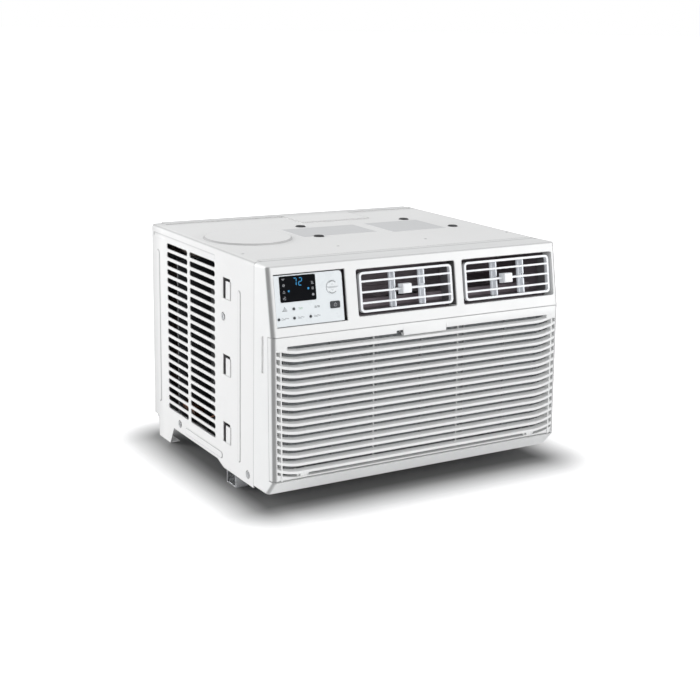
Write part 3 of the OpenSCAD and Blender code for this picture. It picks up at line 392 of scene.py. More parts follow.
def floor_material():
    """White paper that lights itself a little way off, carries a painted shadow close around the
    object's footprint, and gives the object less light back than the camera sees."""
    footprint = (0.225, 0.168, 0)
    shade_reach, glow_start, glow_end = 0.085, 0.02, 0.2
    s = Shader("floor", grey(0.86), 0.8)
    s.vary_roughness(s.noise(scale=3.0), by=0.05)
    s.bump(s.noise(scale=400.0), depth=0.0001, strength=0.3)
    last = s.coords
    for operation, other in (("ABSOLUTE", None), ("SUBTRACT", footprint), ("MAXIMUM", (0, 0, 0)),
                             ("LENGTH", None)):
        node = s.add("ShaderNodeVectorMath", operation=operation)
        s.link(last, node.inputs[0])
        if other is not None:
            node.inputs[1].default_value = other
        last = node.outputs["Value" if operation == "LENGTH" else "Vector"]
    # Painted shadow: the floor darkened close around the object's footprint
    s.tint(s.ramp(last, 1.0, 0.0, 0.0, shade_reach), grey(0.10), amount=0.95)
    s.main.inputs["Emission Color"].default_value = (1, 1, 1, 1)
    s.link(s.ramp(last, 0.0, 1.0, glow_start, glow_end), s.main.inputs["Emission Strength"])
    path = s.add("ShaderNodeLightPath")
    dull = s.add("ShaderNodeBsdfDiffuse")
    dull.inputs["Color"].default_value = (0.78, 0.78, 0.785, 1)
    mix = s.add("ShaderNodeMixShader")
    s.link(path.outputs["Is Camera Ray"], mix.inputs["Fac"])
    s.link(dull.outputs["BSDF"], mix.inputs[1])
    s.link(s.main.outputs["BSDF"], mix.inputs[2])
    s.link(mix.outputs["Shader"], s.tree.nodes["Material Output"].inputs["Surface"])
    return s.material


def moulded(name, color, roughness, grain=0.00004, edge=0.0006, wear=grey(0.97), edge_wear_and_shade_amount=0.35):
    """Injection-moulded plastic: fine grain, slight sink marks, and edges tinted towards another colour,
    lighter as wear and darker as painted shade.
    """
    s = Shader(name, color, roughness)
    s.main.inputs["IOR"].default_value = 1.5
    s.round_edges(edge)
    s.bump(s.noise(scale=2600.0, detail=2.0), depth=grain, strength=0.5)
    s.bump(s.noise(scale=9.0, detail=2.0), depth=0.0004, strength=0.12)
    s.mottle(s.noise(scale=5.0, detail=4.0), darker(color, 0.94), amount=0.6)
    # Edge tint: lighter colours stand for wear, darker ones are painted shade
    s.tint(s.edge_mask(edge * 1.6), wear, edge_wear_and_shade_amount)
    s.vary_roughness(s.noise(scale=38.0, detail=4.0), by=0.06)
    return s


def coated(name, color, roughness):
    """Painted sheet steel: orange peel, slight dents, and painted shade darkening its edges."""
    s = Shader(name, color, roughness)
    s.round_edges(0.0007)
    s.bump(s.noise(scale=900.0, detail=3.0), depth=0.00005, strength=0.5)
    s.bump(s.noise(scale=4.0, detail=2.0), depth=0.0006, strength=0.1)
    s.mottle(s.noise(scale=3.5, detail=5.0), darker(color, 0.93), amount=0.6)
    # Painted shade: edges darkened by the edge mask
    s.tint(s.edge_mask(0.0022), darker(color, 0.42), amount=0.85)
    s.vary_roughness(s.noise(scale=60.0, detail=4.0), by=0.07)
    return s


def cabinet_paint(name, color, roughness):
    """Powder coat with painted shade on pressed slopes, on faces turned downwards and towards the rear, and
    a painted shadow line along the seam.
    """
    s = coated(name, color, roughness)
    s.main.inputs["Specular IOR Level"].default_value = 0.22
    # Painted shade on faces that slant between the main directions, such as pressed slopes
    s.tint(s.slant_mask(), grey(0.30), amount=0.62)
    # Painted shade on faces turned downwards
    s.tint(s.underside_mask(), grey(0.16), amount=0.6)
    # Painted shade towards the rear
    s.tint(s.along((0, 1, 0), 0.165, 0.2), grey(0.36), amount=0.32)
    s.tint(s.seam_mask(), grey(SEAM_GREY), SEAM_AMOUNT)
    return s


def bezel_plastic(name, color, roughness):
    """The front's plastic, with painted shade on its edges, rounded upright corners, front-top edge and the
    walls in the vents' pockets, and a painted shadow line along the seam.
    """
    # Painted shade: edges darkened towards a mid grey
    s = moulded(name, color, roughness, edge=0.0012, wear=grey(0.40), edge_wear_and_shade_amount=0.7)
    # Painted shade on the rounded upright corners
    s.tint(s.upright_corner_mask(), grey(CORNER_GREY), CORNER_AMOUNT)
    s.tint(s.seam_mask(), grey(SEAM_GREY), SEAM_AMOUNT)
    # Painted shade on the edge that turns from the front to the top
    s.tint(s.front_top_mask(), grey(0.30), amount=0.42)
    # The vents' openings, by height, width and depth on the sloping panel, whose walls get painted shade
    height = s.combine("MULTIPLY", s.panel_height(16.5, 17.5), s.panel_height(80.5, 79.5))
    width = s.combine("MULTIPLY", s.panel_across(-118, -117), s.panel_across(226, 225))
    opening = s.combine("MULTIPLY", height, width)
    pockets = s.combine("MULTIPLY", opening, s.panel_depth(1.6, 2.8))
    s.tint(pockets, (0.035, 0.033, 0.035), amount=0.9)
    return s


def vent_frame_plastic(name, color, roughness):
    """White at the front, and dark with dust and shade on the walls behind the slats."""
    s = moulded(name, color, roughness, edge=0.0007)
    s.tint(s.panel_depth(6.2, 8.5), (0.07, 0.062, 0.068), amount=0.92)
    return s


def vane_plastic(name, color, roughness):
    """Thin plastic with a faint bluish glow, which is painted light that brightens the vanes."""
    s = moulded(name, color, roughness, edge=0.0005)
    # Painted light: a faint glow, though the vanes are no lamp
    s.main.inputs["Emission Color"].default_value = (0.84, 0.90, 1.0, 1)
    s.main.inputs["Emission Strength"].default_value = 0.2
    return s


def grille_plastic(name, color, roughness):
    """The grille's plastic, shaded where its corners turn to the sides."""
    s = moulded(name, color, roughness, edge=0.0005)
    s.tint(s.upright_corner_mask(), grey(CORNER_GREY), CORNER_AMOUNT)
    return s


def display_lens(name, color, roughness):
    """A dark lens with little gloss."""
    s = moulded(name, color, roughness, grain=0.0, edge=0.0002, wear=(0.01, 0.01, 0.012))
    s.main.inputs["Specular IOR Level"].default_value = 0.1
    return s


def galvanised(name, color, roughness):
    """Zinc-dipped steel with its crystal spangle."""
    s = Shader(name, color, roughness, metallic=0.85)
    s.round_edges(0.0005)
    cells = s.add("ShaderNodeTexVoronoi")
    cells.inputs["Scale"].default_value = 110.0
    s.link(s.coords, cells.inputs["Vector"])
    s.tint(cells.outputs["Color"], darker(color, 0.72), amount=0.7)
    low, high = roughness - 0.1, roughness + 0.1
    s.link(s.ramp(cells.outputs["Color"], low, high), s.main.inputs["Roughness"])
    s.bump(s.noise(scale=300.0), depth=0.00005, strength=0.3)
    return s


def metal(name, color, roughness, stretch=(1, 1, 1), scale=500.0, metallic=1.0):
    """Bare metal, with its grain drawn out where the stretch says so."""
    s = Shader(name, color, roughness, metallic=metallic)
    s.round_edges(0.0003)
    s.bump(s.noise(scale, detail=3.0, roughness=0.6, stretch=stretch), depth=0.00004, strength=0.35)
    s.mottle(s.noise(scale=24.0, detail=5.0), darker(color, 0.62), amount=0.5, start=0.45, end=0.7)
    s.vary_roughness(s.noise(scale=90.0, detail=4.0, roughness=0.6, stretch=stretch), by=0.1)
    return s


def rubber(name, color, roughness):
    """Rubber or foam with a dusty bloom."""
    s = Shader(name, color, roughness)
    s.round_edges(0.0006)
    s.bump(s.noise(scale=1500.0, detail=3.0), depth=0.00008, strength=0.6)
    s.mottle(s.noise(scale=60.0, detail=4.0), grey(0.16), amount=0.4, start=0.5, end=0.8)
    s.vary_roughness(s.noise(scale=120.0), by=0.08)
    return s


def glowing(name, color, roughness, strength):
    """A lit mark whose brightness wavers a little."""
    s = Shader(name, darker(color, 0.3), roughness)
    s.main.inputs["Emission Color"].default_value = (*color, 1)
    light = s.ramp(s.noise(scale=700.0, detail=2.0), strength * 0.6, strength * 1.3, NOISE_LOW, NOISE_HIGH)
    s.link(light, s.main.inputs["Emission Strength"])
    s.bump(s.noise(scale=900.0), depth=0.00002, strength=0.3)
    return s


CASE_WHITE = (0.86, 0.865, 0.86)
VENT_WHITE = (0.91, 0.93, 0.95)
# How each material is made, its colour, its roughness and what else differs
MATERIALS = {
    "cabinet_paint": (cabinet_paint, (0.85, 0.85, 0.845), 0.62, {}),
    "base_steel": (galvanised, (0.68, 0.69, 0.70), 0.42, {}),
    "bezel_plastic": (bezel_plastic, CASE_WHITE, 0.36, {}),
    "grille_plastic": (grille_plastic, CASE_WHITE, 0.36, {}),
    "vent_plastic": (moulded, VENT_WHITE, 0.34, {"edge": 0.0007}),
    "vent_frame_plastic": (vent_frame_plastic, VENT_WHITE, 0.34, {}),
    "vane_plastic": (vane_plastic, VENT_WHITE, 0.34, {}),
    "filter_plastic": (moulded, (0.13, 0.135, 0.14), 0.5, {}),
    "filter_net": (moulded, (0.24, 0.26, 0.28), 0.6, {}),
    "overlay_film": (moulded, (0.80, 0.84, 0.86), 0.3, {"grain": 0.00001, "edge": 0.0004}),
    "display_lens": (display_lens, (0.003, 0.0035, 0.005), 0.2, {}),
    "power_key_plastic": (moulded, (0.018, 0.021, 0.026), 0.42,
                          {"grain": 0.00001, "edge": 0.0003, "wear": (0.1, 0.1, 0.11)}),
    "temp_key_plastic": (moulded, (0.82, 0.85, 0.865), 0.3, {"grain": 0.00001, "edge": 0.0003}),
    "dot_key_plastic": (moulded, (0.02, 0.025, 0.03), 0.35, {"grain": 0.00001, "edge": 0.0003}),
    "board_green": (moulded, (0.03, 0.16, 0.09), 0.35, {}),
    "box_plastic": (moulded, (0.07, 0.075, 0.085), 0.55, {}),
    "can_aluminium": (metal, (0.70, 0.71, 0.72), 0.35, {"stretch": (1, 12, 1)}),
    "fin_aluminium": (metal, (0.72, 0.74, 0.76), 0.38, {"stretch": (1, 1, 9)}),
    # Copper tarnished and darkened further as painted shade, so tubes seen through the slots stay dark
    "copper": (metal, (0.11, 0.05, 0.03), 0.42, {}),
    # Outdoor copper, weathered and darkened further as painted shade, so bends seen through the slots stay
    # near black
    "weathered_copper": (metal, (0.035, 0.022, 0.016), 0.75, {"metallic": 0.15}),
    "compressor_paint": (coated, (0.02, 0.021, 0.023), 0.38, {}),
    "black_rubber": (rubber, (0.02, 0.02, 0.022), 0.7, {}),
    "zinc_steel": (metal, (0.62, 0.63, 0.64), 0.3, {"scale": 700.0}),
    # Duct foam given a dark purple grey as painted shade inside the unit
    "duct_foam": (moulded, (0.25, 0.21, 0.235), 0.7, {"grain": 0.0002, "wear": (0.12, 0.11, 0.115)}),
    "shroud_plastic": (moulded, (0.03, 0.032, 0.036), 0.5, {}),
    "motor_paint": (coated, (0.10, 0.11, 0.12), 0.4, {}),
    "fan_plastic": (moulded, (0.03, 0.034, 0.038), 0.42, {}),
    "label_film": (moulded, (0.66, 0.665, 0.67), 0.75, {"grain": 0.00002, "edge": 0.0001}),
    "display_glow": (glowing, (0.02, 0.36, 0.75), 0.4, {"strength": 0.5}),
    "print_grey": (moulded, (0.10, 0.11, 0.12), 0.5, {"grain": 0.0, "edge": 0.0001}),
    "print_pale": (moulded, (0.25, 0.27, 0.28), 0.5, {"grain": 0.0, "edge": 0.0001}),
    "print_faint": (moulded, (0.30, 0.31, 0.33), 0.5, {"grain": 0.0, "edge": 0.0001}),
    "print_green": (moulded, (0.20, 0.42, 0.24), 0.5, {"grain": 0.0, "edge": 0.0001}),
    "plug_rubber": (rubber, (0.018, 0.018, 0.02), 0.6, {}),
    "seal_foam": (rubber, (0.06, 0.065, 0.07), 0.9, {}),
    "wire_sleeve": (moulded, (0.70, 0.70, 0.68), 0.5, {}),
}


# ---- the intake grille ------------------------------------------------------------------
# The front's profile and the lower panel's own frame, as the CAD has them, in millimetres
HALF_W, FRONT_Y, CORNER_R = 236.0, -202.0, 7.0
GRILLE_FOOT_Z, GRILLE_LEAN = 45.5, math.radians(2.078)
SLOT_PITCH, SLOT_HALF, FIRST_SLOT_Z, SLOTS = 10.9, 1.6, 6.7, 17
BEND_X, SLOT_END_X, SLOT_RISE = 194.0, 230.0, 7.0
SLAT_END_X, GRILLE_BACK, GRILLE_TOP = 231.5, 8.8, 195.13
HEAD_Z = FIRST_SLOT_Z + (SLOTS - 1) * SLOT_PITCH + SLOT_HALF
TAB_HALF = 36
RIB_XS = (-78, 61)
HINGE_Y, HINGE_Z = 6, 6.7

# Profiles as (y, z) in the lower panel's own frame
SLAT_PROFILE = [(0.4, 0), (0.1, 0.15), (0, 0.5), (0, 3.3), (0.12, 3.7), (0.45, 3.9),
                (8.6, 5.4), (8.8, 5.2), (8.8, 3.6), (2.0, 0.3), (1.2, 0)]
FOOT_PROFILE = [(6, 0.7), (4.2, 0.97), (2.6, 1.75), (1.4, 2.8), (0.7, 3.6), (0.55, 4.0), (0.8, 4.35),
                (8.6, 4.9), (8.8, 4.7), (8.8, 0.9)]
TAB_PROFILE = [(0.1, 191.5), (-0.25, 189), (-0.95, 182), (-1.15, 180.2), (-1.05, 179.2),
               (-0.6, 178.8), (2.6, 178.8), (6.5, 183.6), (6.5, 191.5)]
# The foot's points above this height rise with the slots at the ends
FOOT_LOW_Z = 3.2


def on_grille(x, y, z):
    """The lower panel's own (x, y, z) in millimetres, as a place in metres."""
    c, s = math.cos(GRILLE_LEAN), math.sin(GRILLE_LEAN)
    return Vector((x, FRONT_Y + y * c + z * s, GRILLE_FOOT_Z - y * s + z * c)) * MM


def on_panel(x, y, z):
    """The sloping upper panel's own (x, y, z) in millimetres, as a place in metres."""
    c, s = PANEL_TILT
    return Vector((x, PANEL_FOOT[0] + y * c + z * s, PANEL_FOOT[1] - y * s + z * c)) * MM


def corner(x):
    """How far the front falls back at the rounded upright corners."""
    over = min(max(abs(x) - (HALF_W - CORNER_R), 0), CORNER_R)
    return CORNER_R - math.sqrt(CORNER_R ** 2 - over ** 2)


def sweep_up(x):
    """How far the slots have risen where they sweep up at their ends."""
    over = max(abs(x) - BEND_X, 0) / (SLOT_END_X - BEND_X)
    return SLOT_RISE * over * over


def mirrored(xs, middle):
    """The places negated in falling order, then those in the middle, then the places."""
    return [-x for x in reversed(xs)] + middle + xs


def sweep_bar(bm, profile, xs, fixed_below=math.inf):
    """A bar across the panel. Points of its profile above a height rise as the slots do."""
    loft(bm, [[on_grille(x, y + corner(x), z + (sweep_up(x) if z > fixed_below else 0))
               for y, z in profile] for x in xs])


def grille_upright(bm, outline, heights):
    """An upright solid from an outline of (x, y), through the given heights."""
    loft(bm, [[on_grille(x, y, z) for x, y in outline] for z in heights])


def grille_slats(bm):
    """The slats between the slots, and the foot below the lowest."""
    stations = mirrored(spread(BEND_X, SLAT_END_X, 12), [-120, -40, 40, 120])
    for i in range(SLOTS - 1):
        base = FIRST_SLOT_Z + i * SLOT_PITCH + SLOT_HALF
        sweep_bar(bm, [(y, base + z) for y, z in SLAT_PROFILE], stations, -math.inf)
    sweep_bar(bm, FOOT_PROFILE, stations, FOOT_LOW_Z)


def grille_frame(bm):
    """The band along the top, the uprights at the sides and the two ribs behind the slats."""
    def band(low):
        return [(0.3, low), (0, low + 0.4), (0, GRILLE_TOP - 0.5), (0.3, GRILLE_TOP),
                (GRILLE_BACK, GRILLE_TOP), (GRILLE_BACK, low)]

    ends = spread(214, SLAT_END_X, 8)
    notch = TAB_HALF + 10
    sweep_bar(bm, band(HEAD_Z), [-x for x in reversed(ends)] + [-notch])
    sweep_bar(bm, band(HEAD_Z + 3.6), [-notch, -TAB_HALF])
    sweep_bar(bm, band(HEAD_Z), [-TAB_HALF, 0, TAB_HALF] + ends)
    for side in (-1, 1):
        patch = [(0.05, HEAD_Z - 6), (0.05, HEAD_Z + 2), (8.7, HEAD_Z + 2), (8.7, HEAD_Z - 6)]
        sweep_bar(bm, patch, [side * x for x in ends])

    x0, x1, front, back, chamfer = 222.25, 224.75, 0.15, 8.7, 0.3
    bar = [(x0, front + chamfer), (x0 + chamfer, front), (x1 - chamfer, front), (x1, front + chamfer),
           (x1, back), (x0, back)]
    rim = [(x, corner(x)) for x in spread(230, 235.8, 7)]
    rim += [(235.95, 12), (229, 12), (229, 3.2), (229.4, 2.7)]
    for side in (-1, 1):
        grille_upright(bm, [(side * x, y + corner(x)) for x, y in bar], (1.6, HEAD_Z + 1))
        grille_upright(bm, [(side * x, y) for x, y in rim], (2.2, 60, 130, GRILLE_TOP))

    rib = [(-0.7, 7.2), (-0.4, 6.9), (0.4, 6.9), (0.7, 7.2), (0.7, 8.7), (-0.7, 8.7)]
    for x in RIB_XS:
        grille_upright(bm, [(x + dx, y) for dx, y in rib], (2.8, HEAD_Z + 1))


def grille_tab(bm):
    """The pull tab, whose bulge fades out at both ends."""
    def ring(x, bulge):
        return [on_grille(x, y if y > 0 else y * bulge, z) for y, z in TAB_PROFILE]

    # Places along the tab, and how much of the bulge each keeps
    fades = ((-36, 0.1), (-35.3, 0.75), (-34, 1), (0, 1), (34, 1), (35.3, 0.75), (36, 0.1))
    loft(bm, [ring(x, bulge) for x, bulge in fades])


def grille_hinges(bm):
    """The two hinges: a pin between two cheeks, at the foot of the frame."""
    def disc(radius, x0, x1):
        loft(bm, [[on_grille(x, y, z) for y, z in circle_2d(HINGE_Y, HINGE_Z, radius, 28)]
                  for x in (x0, x1)])

    pin_r, pin_x0, pin_x1 = 1.5, 183.5, 196.5
    cheek_r, cheek_t, cheek_xs = 2.4, 3, (181, 196)
    cheek = ((HINGE_Y, HINGE_Z), (12, HINGE_Z), (12, 13.5), (HINGE_Y, 13.5))
    for side in (-1, 1):
        disc(pin_r, side * pin_x0, side * pin_x1)
        for x in cheek_xs:
            disc(cheek_r, side * x, side * (x + cheek_t))
            loft(bm, [[on_grille(side * end, y, z) for y, z in cheek] for end in (x, x + cheek_t)])


def make_grille():
    """The louvred panel with its tab and hinges, as one piece."""
    bm = bmesh.new()
    grille_slats(bm)
    grille_frame(bm)
    grille_tab(bm)
    grille_hinges(bm)
    grille = new_object("intake_grille", face_outwards(bm), 32)
    grille.data.materials.append(materials["grille_plastic"])
    place(grille, "grille", "grille_plastic", "front_grille")


# ---- the control panel's print and display ----------------------------------------------
# How far back the overlay's, the keys' and the glass's faces lie, in millimetres
OVERLAY_Y, KEY_Y, GLASS_Y = 1.6, 0.8, 1.3
PRINT_T, GLASS_T = 0.08, 1.0
DIGIT_W, DIGIT_H, DIGIT_T, DIGIT_LEAN = 5.4, 10.6, 1.1, 0.08
# The outlines below are drawn in x and z on the sloping panel, in millimetres


def box_2d(x0, z0, x1, z1):
    """An upright rectangle."""
    return [(x0, z0), (x1, z0), (x1, z1), (x0, z1)]


def arc_2d(x, z, r0, r1, a0, a1, n):
    """A band between two radii, from one angle to another in degrees."""
    angles = [math.radians(a) for a in spread(a0, a1, n)]
    return ([(x + r1 * math.cos(a), z + r1 * math.sin(a)) for a in angles]
            + [(x + r0 * math.cos(a), z + r0 * math.sin(a)) for a in reversed(angles)])


def stroke_2d(points, w):
    """A line of even width through points, as one outline."""
    left, right = [], []
    for i, (x, z) in enumerate(points):
        ax, az = points[max(i - 1, 0)]
        bx, bz = points[min(i + 1, len(points) - 1)]
        length = math.hypot(bx - ax, bz - az)
        nx, nz = -(bz - az) / length * w / 2, (bx - ax) / length * w / 2
        left.append((x + nx, z + nz))
        right.append((x - nx, z - nz))
    return left + right[::-1]


def rounded_2d(x0, z0, x1, z1, r):
    """An upright rectangle with rounded corners."""
    points, steps = [], 6
    corners = ((x1 - r, z0 + r, -90), (x1 - r, z1 - r, 0), (x0 + r, z1 - r, 90), (x0 + r, z0 + r, 180))
    for cx, cz, start in corners:
        for angle in spread(start, start + 90, steps):
            points.append((cx + r * math.cos(math.radians(angle)), cz + r * math.sin(math.radians(angle))))
    return points


def wave_2d(x, z, length, w=0.45):
    """Two waves in a thin line, in place of a word."""
    return stroke_2d([(x + length * k / 12, z + 0.5 * math.sin(2 * math.pi * k / 6)) for k in range(13)], w)


def print_on_panel(name, outlines, back, look, body, slot, thick=PRINT_T, stands_for=()):
    """Thin raised shapes on the sloping panel, whose backs lie at the depth given."""
    bm = bmesh.new()
    for outline in outlines:
        rows = [[bm.verts.new(on_panel(x, y, z)) for x, z in outline] for y in (back - thick, back)]
        n = len(outline)
        for i in range(n):
            j = (i + 1) % n
            bm.faces.new((rows[0][i], rows[1][i], rows[1][j], rows[0][j]))
        caps = [bm.faces.new(rows[0]), bm.faces.new(rows[1][::-1])]
        bmesh.ops.triangulate(bm, faces=caps)
    piece = new_object(name, face_outwards(bm))
    piece.data.materials.append(materials[look])
    place(piece, body, slot, *stands_for)


def digit(lit, x, z):
    """The lit segments of a seven-segment digit, leaning a little to the right."""
    w, h, t = DIGIT_W, DIGIT_H, DIGIT_T
    segments = {
        "a": [(t * 0.6, h), (w - t * 0.6, h), (w - t * 1.4, h - t), (t * 1.4, h - t)],
        "b": [(w, h - t * 0.6), (w, h / 2 + t * 0.2), (w - t, h / 2 + t * 0.7), (w - t, h - t * 1.5)],
        "c": [(w, h / 2 - t * 0.2), (w, t * 0.6), (w - t, t * 1.5), (w - t, h / 2 - t * 0.7)],
        "d": [(t * 0.6, 0), (t * 1.4, t), (w - t * 1.4, t), (w - t * 0.6, 0)],
        "e": [(0, t * 0.6), (0, h / 2 - t * 0.2), (t, h / 2 - t * 0.7), (t, t * 1.5)],
        "g": [(t * 0.7, h / 2), (t * 1.2, h / 2 + t / 2), (w - t * 1.2, h / 2 + t / 2),
              (w - t * 0.7, h / 2), (w - t * 1.2, h / 2 - t / 2), (t * 1.2, h / 2 - t / 2)],
    }
    return [[(x + px + pz * DIGIT_LEAN, z + pz) for px, pz in segments[key]] for key in lit]


def make_display():
    """The lens, a lit two-digit number, two lit dots and plain symbols down both sides."""
    glass = rounded_2d(-219.0, 44.5, -166.0, 78.0, 2.8)
    print_on_panel("display_glass", [glass], GLASS_Y + GLASS_T, "display_lens", "casing", "display_lens",
                   GLASS_T, ("display_window",))
    seven, two = digit("abc", -199.6, 64.6), digit("abged", -191.6, 64.6)
    print_on_panel("display_digits", seven + two, GLASS_Y, "display_glow", "casing", "display_lens")
    dots = [circle_2d(-177.2, 60, 1.5, 20), circle_2d(-206.2, 58.6, 1.3, 20)]
    print_on_panel("display_dots", dots, GLASS_Y, "display_glow", "casing", "display_lens")

    icons = [box_2d(-215.4, 74.2, -211.2, 75.0), box_2d(-214.4, 72.9, -212.2, 73.5)]
    icons += [arc_2d(-213.2, 66.4, 1.1, 1.8, 0, 360, 24), circle_2d(-213.2, 66.4, 0.55, 20)]
    icons += [stroke_2d([(-214.6, 57.2), (-213.2, 59.6), (-211.8, 57.2)], 0.7)]
    icons += [box_2d(-214.9, 55.9, -211.5, 56.5)]
    icons += [arc_2d(-212.9, 49.6, 1.7, 2.3, 30 + 120 * k, 110 + 120 * k, 8) for k in range(3)]
    icons += [circle_2d(-212.9, 49.6, 0.8, 20)]
    icons += [box_2d(-172.6, 65.2 + 1.5 * k, -168.6 - 0.7 * k, 65.9 + 1.5 * k) for k in range(3)]
    icons += [arc_2d(-170.6, 59.6, 1.1, 1.7, 20, 340, 22), circle_2d(-170.6, 51.6, 1.9, 6)]
    print_on_panel("display_icons", icons, GLASS_Y, "print_faint", "casing", "display_lens")


def make_panel_print():
    """Plain bars and waves where the panel has symbols and words."""
    marks = [stroke_2d([(-217.6, 33.4), (-210.2, 33.4)], 0.8),
             stroke_2d([(-216.6, 35.0), (-211.2, 35.0)], 0.8),
             stroke_2d([(-215.4, 36.6), (-212.4, 36.6)], 0.8),
             circle_2d(-213.9, 38.2, 0.6, 10)]
    marks += [box_2d(-169.8, 34.0, -165.9, 34.9), box_2d(-164.9, 34.0, -162.1, 34.9),
              box_2d(-169.8, 35.6, -167.6, 36.3), box_2d(-166.6, 35.6, -162.1, 36.3)]
    for x, length in ((-219.6, 11.0), (-195.6, 9.6), (-171.6, 9.6)):
        marks += [wave_2d(x, 23.7, length), box_2d(x, 22.1, x + length * 0.62, 22.5)]
    print_on_panel("panel_marks", marks, OVERLAY_Y, "print_grey", "casing", "overlay_film")
    green = [wave_2d(-193.6, 35.6, 6.4, 0.5), box_2d(-193.2, 34.0, -188.2, 34.4)]
    print_on_panel("panel_mark_green", green, OVERLAY_Y, "print_green", "casing", "overlay_film")


def make_key_print():
    """An arc and a small chevron on each temperature key, and a ring on the power key."""
    x, middle_z = -141.5, 58.6
    for name, start, way in (("temp_up_key", 48, 1), ("temp_down_key", 228, -1)):
        z = middle_z + way * 3.6
        arc = arc_2d(x, middle_z, 7.3, 8.3, start, start + 84, 18)
        chevron = stroke_2d([(x - 1.6, z - way * 0.8), (x, z + way * 0.8), (x + 1.6, z - way * 0.8)], 0.35)
        print_on_panel(name + "_print", [arc, chevron], KEY_Y, "print_pale", name, "temp_key_plastic")
    ring = [arc_2d(-138.8, 35.0, 1.7, 2.3, 120, 420, 26), box_2d(-139.1, 35.2, -138.5, 38.0)]
    print_on_panel("power_key_print", ring, KEY_Y, "print_faint", "power_key", "power_key_plastic")


# ---- the vents' knobs -------------------------------------------------------------------
# In the sloping panel's frame: the middle slat's height, and the vanes' pins' depth
VENT_Z, PIN_Y = 47, 8.5
KNOB_X = {"left": -24.5, "right": 147.3}


def panel_block(bm, low, high, bevel=0.0, front_taper=1.0):
    """A block in the sloping panel's own millimetres, with rounded edges and a slimmer front."""
    part = bmesh.new()
    bmesh.ops.create_cube(part, size=1.0)
    middle = [(a + b) / 2 for a, b in zip(low, high)]
    for v in part.verts:
        v.co = Vector([a + (b - a) * (c + 0.5) for a, b, c in zip(low, high, v.co)])
        if v.co.y < middle[1]:
            v.co.x = middle[0] + (v.co.x - middle[0]) * front_taper
            v.co.z = middle[2] + (v.co.z - middle[2]) * front_taper
    if bevel:
        bmesh.ops.bevel(part, geom=part.edges[:], offset=bevel, segments=4, profile=0.6, affect="EDGES")
    new = {v: bm.verts.new(on_panel(*v.co)) for v in part.verts}
    for face in part.faces:
        bm.faces.new([new[v] for v in face.verts])
    part.free()


def make_knob(side, x):
    """A soft-cornered thumb block astride the middle slat, on its tie bar with two pin slots."""
    half_x, half_z, slat = 7.5, 6.9, 1.6
    front, jaw_front, slat_front, back = -4.5, 0.5, 1.1, 8.2
    knob_x, bar_x = x - 3, x + 8
    bar_half, bar_z, bar_y = 28, 1.6, (6.4, 11.1)
    slot_inner, slot_outer, slot_y = 22.9, 25.1, (PIN_Y - 1.4, PIN_Y + 1.9)

    bm = bmesh.new()
    x0, x1 = knob_x - half_x, knob_x + half_x
    panel_block(bm, (x0, front, VENT_Z - half_z), (x1, slat_front, VENT_Z + half_z),
                bevel=1.2, front_taper=0.93)
    for low, high in ((-half_z, -slat), (slat, half_z)):
        panel_block(bm, (x0, jaw_front, VENT_Z + low), (x1, back, VENT_Z + high), bevel=0.3)

    def bar_part(a, b, y0, y1):
        panel_block(bm, (bar_x + a, y0, VENT_Z - bar_z), (bar_x + b, y1, VENT_Z + bar_z))

    bar_part(-bar_half, bar_half, bar_y[0], slot_y[0])
    bar_part(-bar_half, bar_half, slot_y[1], bar_y[1])
    for a, b in ((-bar_half, -slot_outer), (-slot_inner, slot_inner), (slot_outer, bar_half)):
        bar_part(a, b, *slot_y)
    knob = new_object("knob_" + side, face_outwards(bm), 40)
    knob.data.materials.append(materials["vent_plastic"])
    place(knob, "slider_" + side, "vent_plastic", "vane_slider_" + side)


# ---- coils and filter -------------------------------------------------------------------
def add_box(bm, low, high):
    """A block between two corners in millimetres."""
    block_faces(bm, [Vector((x, y, z)) * MM for x in (low[0], high[0])
                     for y in (low[1], high[1]) for z in (low[2], high[2])])


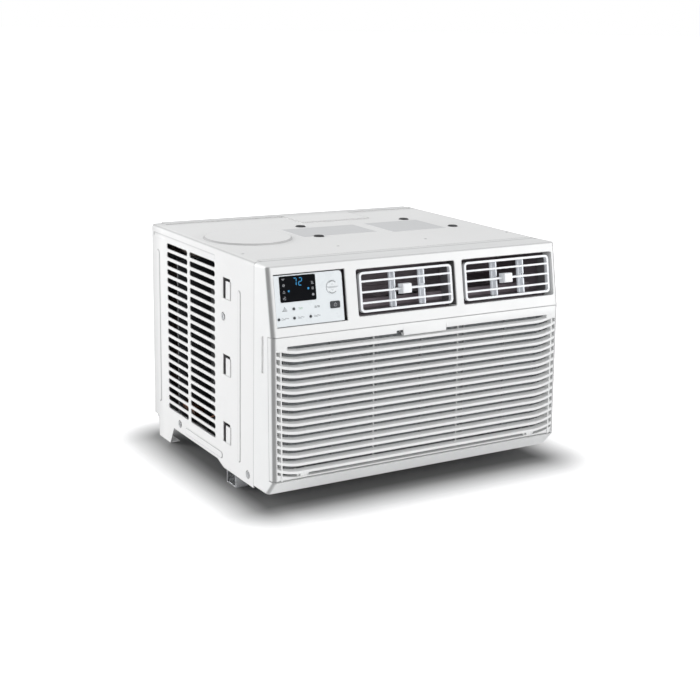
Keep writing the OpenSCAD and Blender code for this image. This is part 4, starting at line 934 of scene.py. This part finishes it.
def make_coil(name, node, flange=0):
    """Thin fins between two end plates, with the tubes running through them. A flange is how
    far each end plate's foot is bent outwards."""
    plate, foot_h, foot_inset = 1.2, 30, 0.2
    fin_pitch, fin_half, fin_inset = 2.0, 0.11, 0.4
    tube_r, tube_rows, tube_depths, tube_inset = 4.6, 14, (0.27, 0.73), 1
    low, high = (Vector(p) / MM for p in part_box(node))
    bm = bmesh.new()
    for x in (low.x, high.x - plate):
        add_box(bm, (x, low.y, low.z), (x + plate, high.y, high.z))
    if flange:
        y = high.y - foot_inset
        for x0, x1 in ((low.x - flange, low.x), (high.x, high.x + flange)):
            add_box(bm, (x0, y - plate, low.z), (x1, y, low.z + foot_h))
    between = high.x - low.x - 2 * plate
    count = int(between / fin_pitch)
    for i in range(1, count):
        x = low.x + plate + between * i / count
        add_box(bm, (x - fin_half, low.y + fin_inset, low.z), (x + fin_half, high.y - fin_inset, high.z))
    for depth in tube_depths:
        y = low.y + depth * (high.y - low.y)
        for k in range(tube_rows):
            z = low.z + (k + 0.5) * (high.z - low.z) / tube_rows
            ring = circle_2d(y, z, tube_r, 12)
            ends = (low.x + tube_inset, high.x - tube_inset)
            loft(bm, [[Vector((x, ry, rz)) * MM for ry, rz in ring] for x in ends])
    coil = new_object(name, face_outwards(bm))
    coil.data.materials.append(materials["fin_aluminium"])
    place(coil, "casing", "fin_aluminium", node)


def make_filter_net():
    """The filter's woven strands, within its frame on the grille."""
    x_end, z0, z1, front, back = 210.9, 20.1, 180.9, 10.7, 11.0
    pitch, strand_half = 2.4, 0.3
    bm = bmesh.new()

    def strip(xs, zs, ys):
        block_faces(bm, [on_grille(x, y, z) for x in xs for y in ys for z in zs])

    for i in range(int(2 * x_end / pitch) + 1):
        x = -x_end + i * pitch
        strip((x - strand_half, x + strand_half), (z0, z1), (front, front + 0.25))
    for i in range(int((z1 - z0) / pitch) + 1):
        z = z0 + i * pitch
        strip((-x_end, x_end), (z - strand_half, z + strand_half), (front + 0.2, back))
    net = new_object("filter_net", face_outwards(bm))
    net.data.materials.append(materials["filter_net"])
    place(net, "grille", "filter_net", "filter_mesh")


# ---- everything -------------------------------------------------------------------------
# CAD nodes that look a little different from the rest of their slot
OWN_LOOK = {
    # The outdoor tubes: weathered copper darkened further as painted shade
    "condenser_tubes": "weathered_copper",
    "discharge_line": "weathered_copper",
    "vent_frame_left": "vent_frame_plastic",
    "vent_frame_right": "vent_frame_plastic",
    "vane_left_a": "vane_plastic",
    "vane_left_b": "vane_plastic",
    "vane_right_a": "vane_plastic",
    "vane_right_b": "vane_plastic",
}

make_camera()
make_stage()
materials = {}
for look, (make, base_color, base_roughness, extra) in MATERIALS.items():
    materials[look] = make(look, base_color, base_roughness, **extra).material
slot_of = {s["node"]: s["material_slot"] for s in frame["record"]["subparts"]}
for node_name, node_object in nodes.items():
    for material_slot in node_object.material_slots:
        material_slot.material = materials[OWN_LOOK.get(node_name, slot_of[node_name])]

make_grille()
make_display()
make_panel_print()
make_key_print()
make_coil("condenser_coil", "condenser_fins", flange=23.5)
make_coil("evaporator_coil", "evaporator_fins")
make_filter_net()
for hand, knob_x in KNOB_X.items():
    make_knob(hand, knob_x)
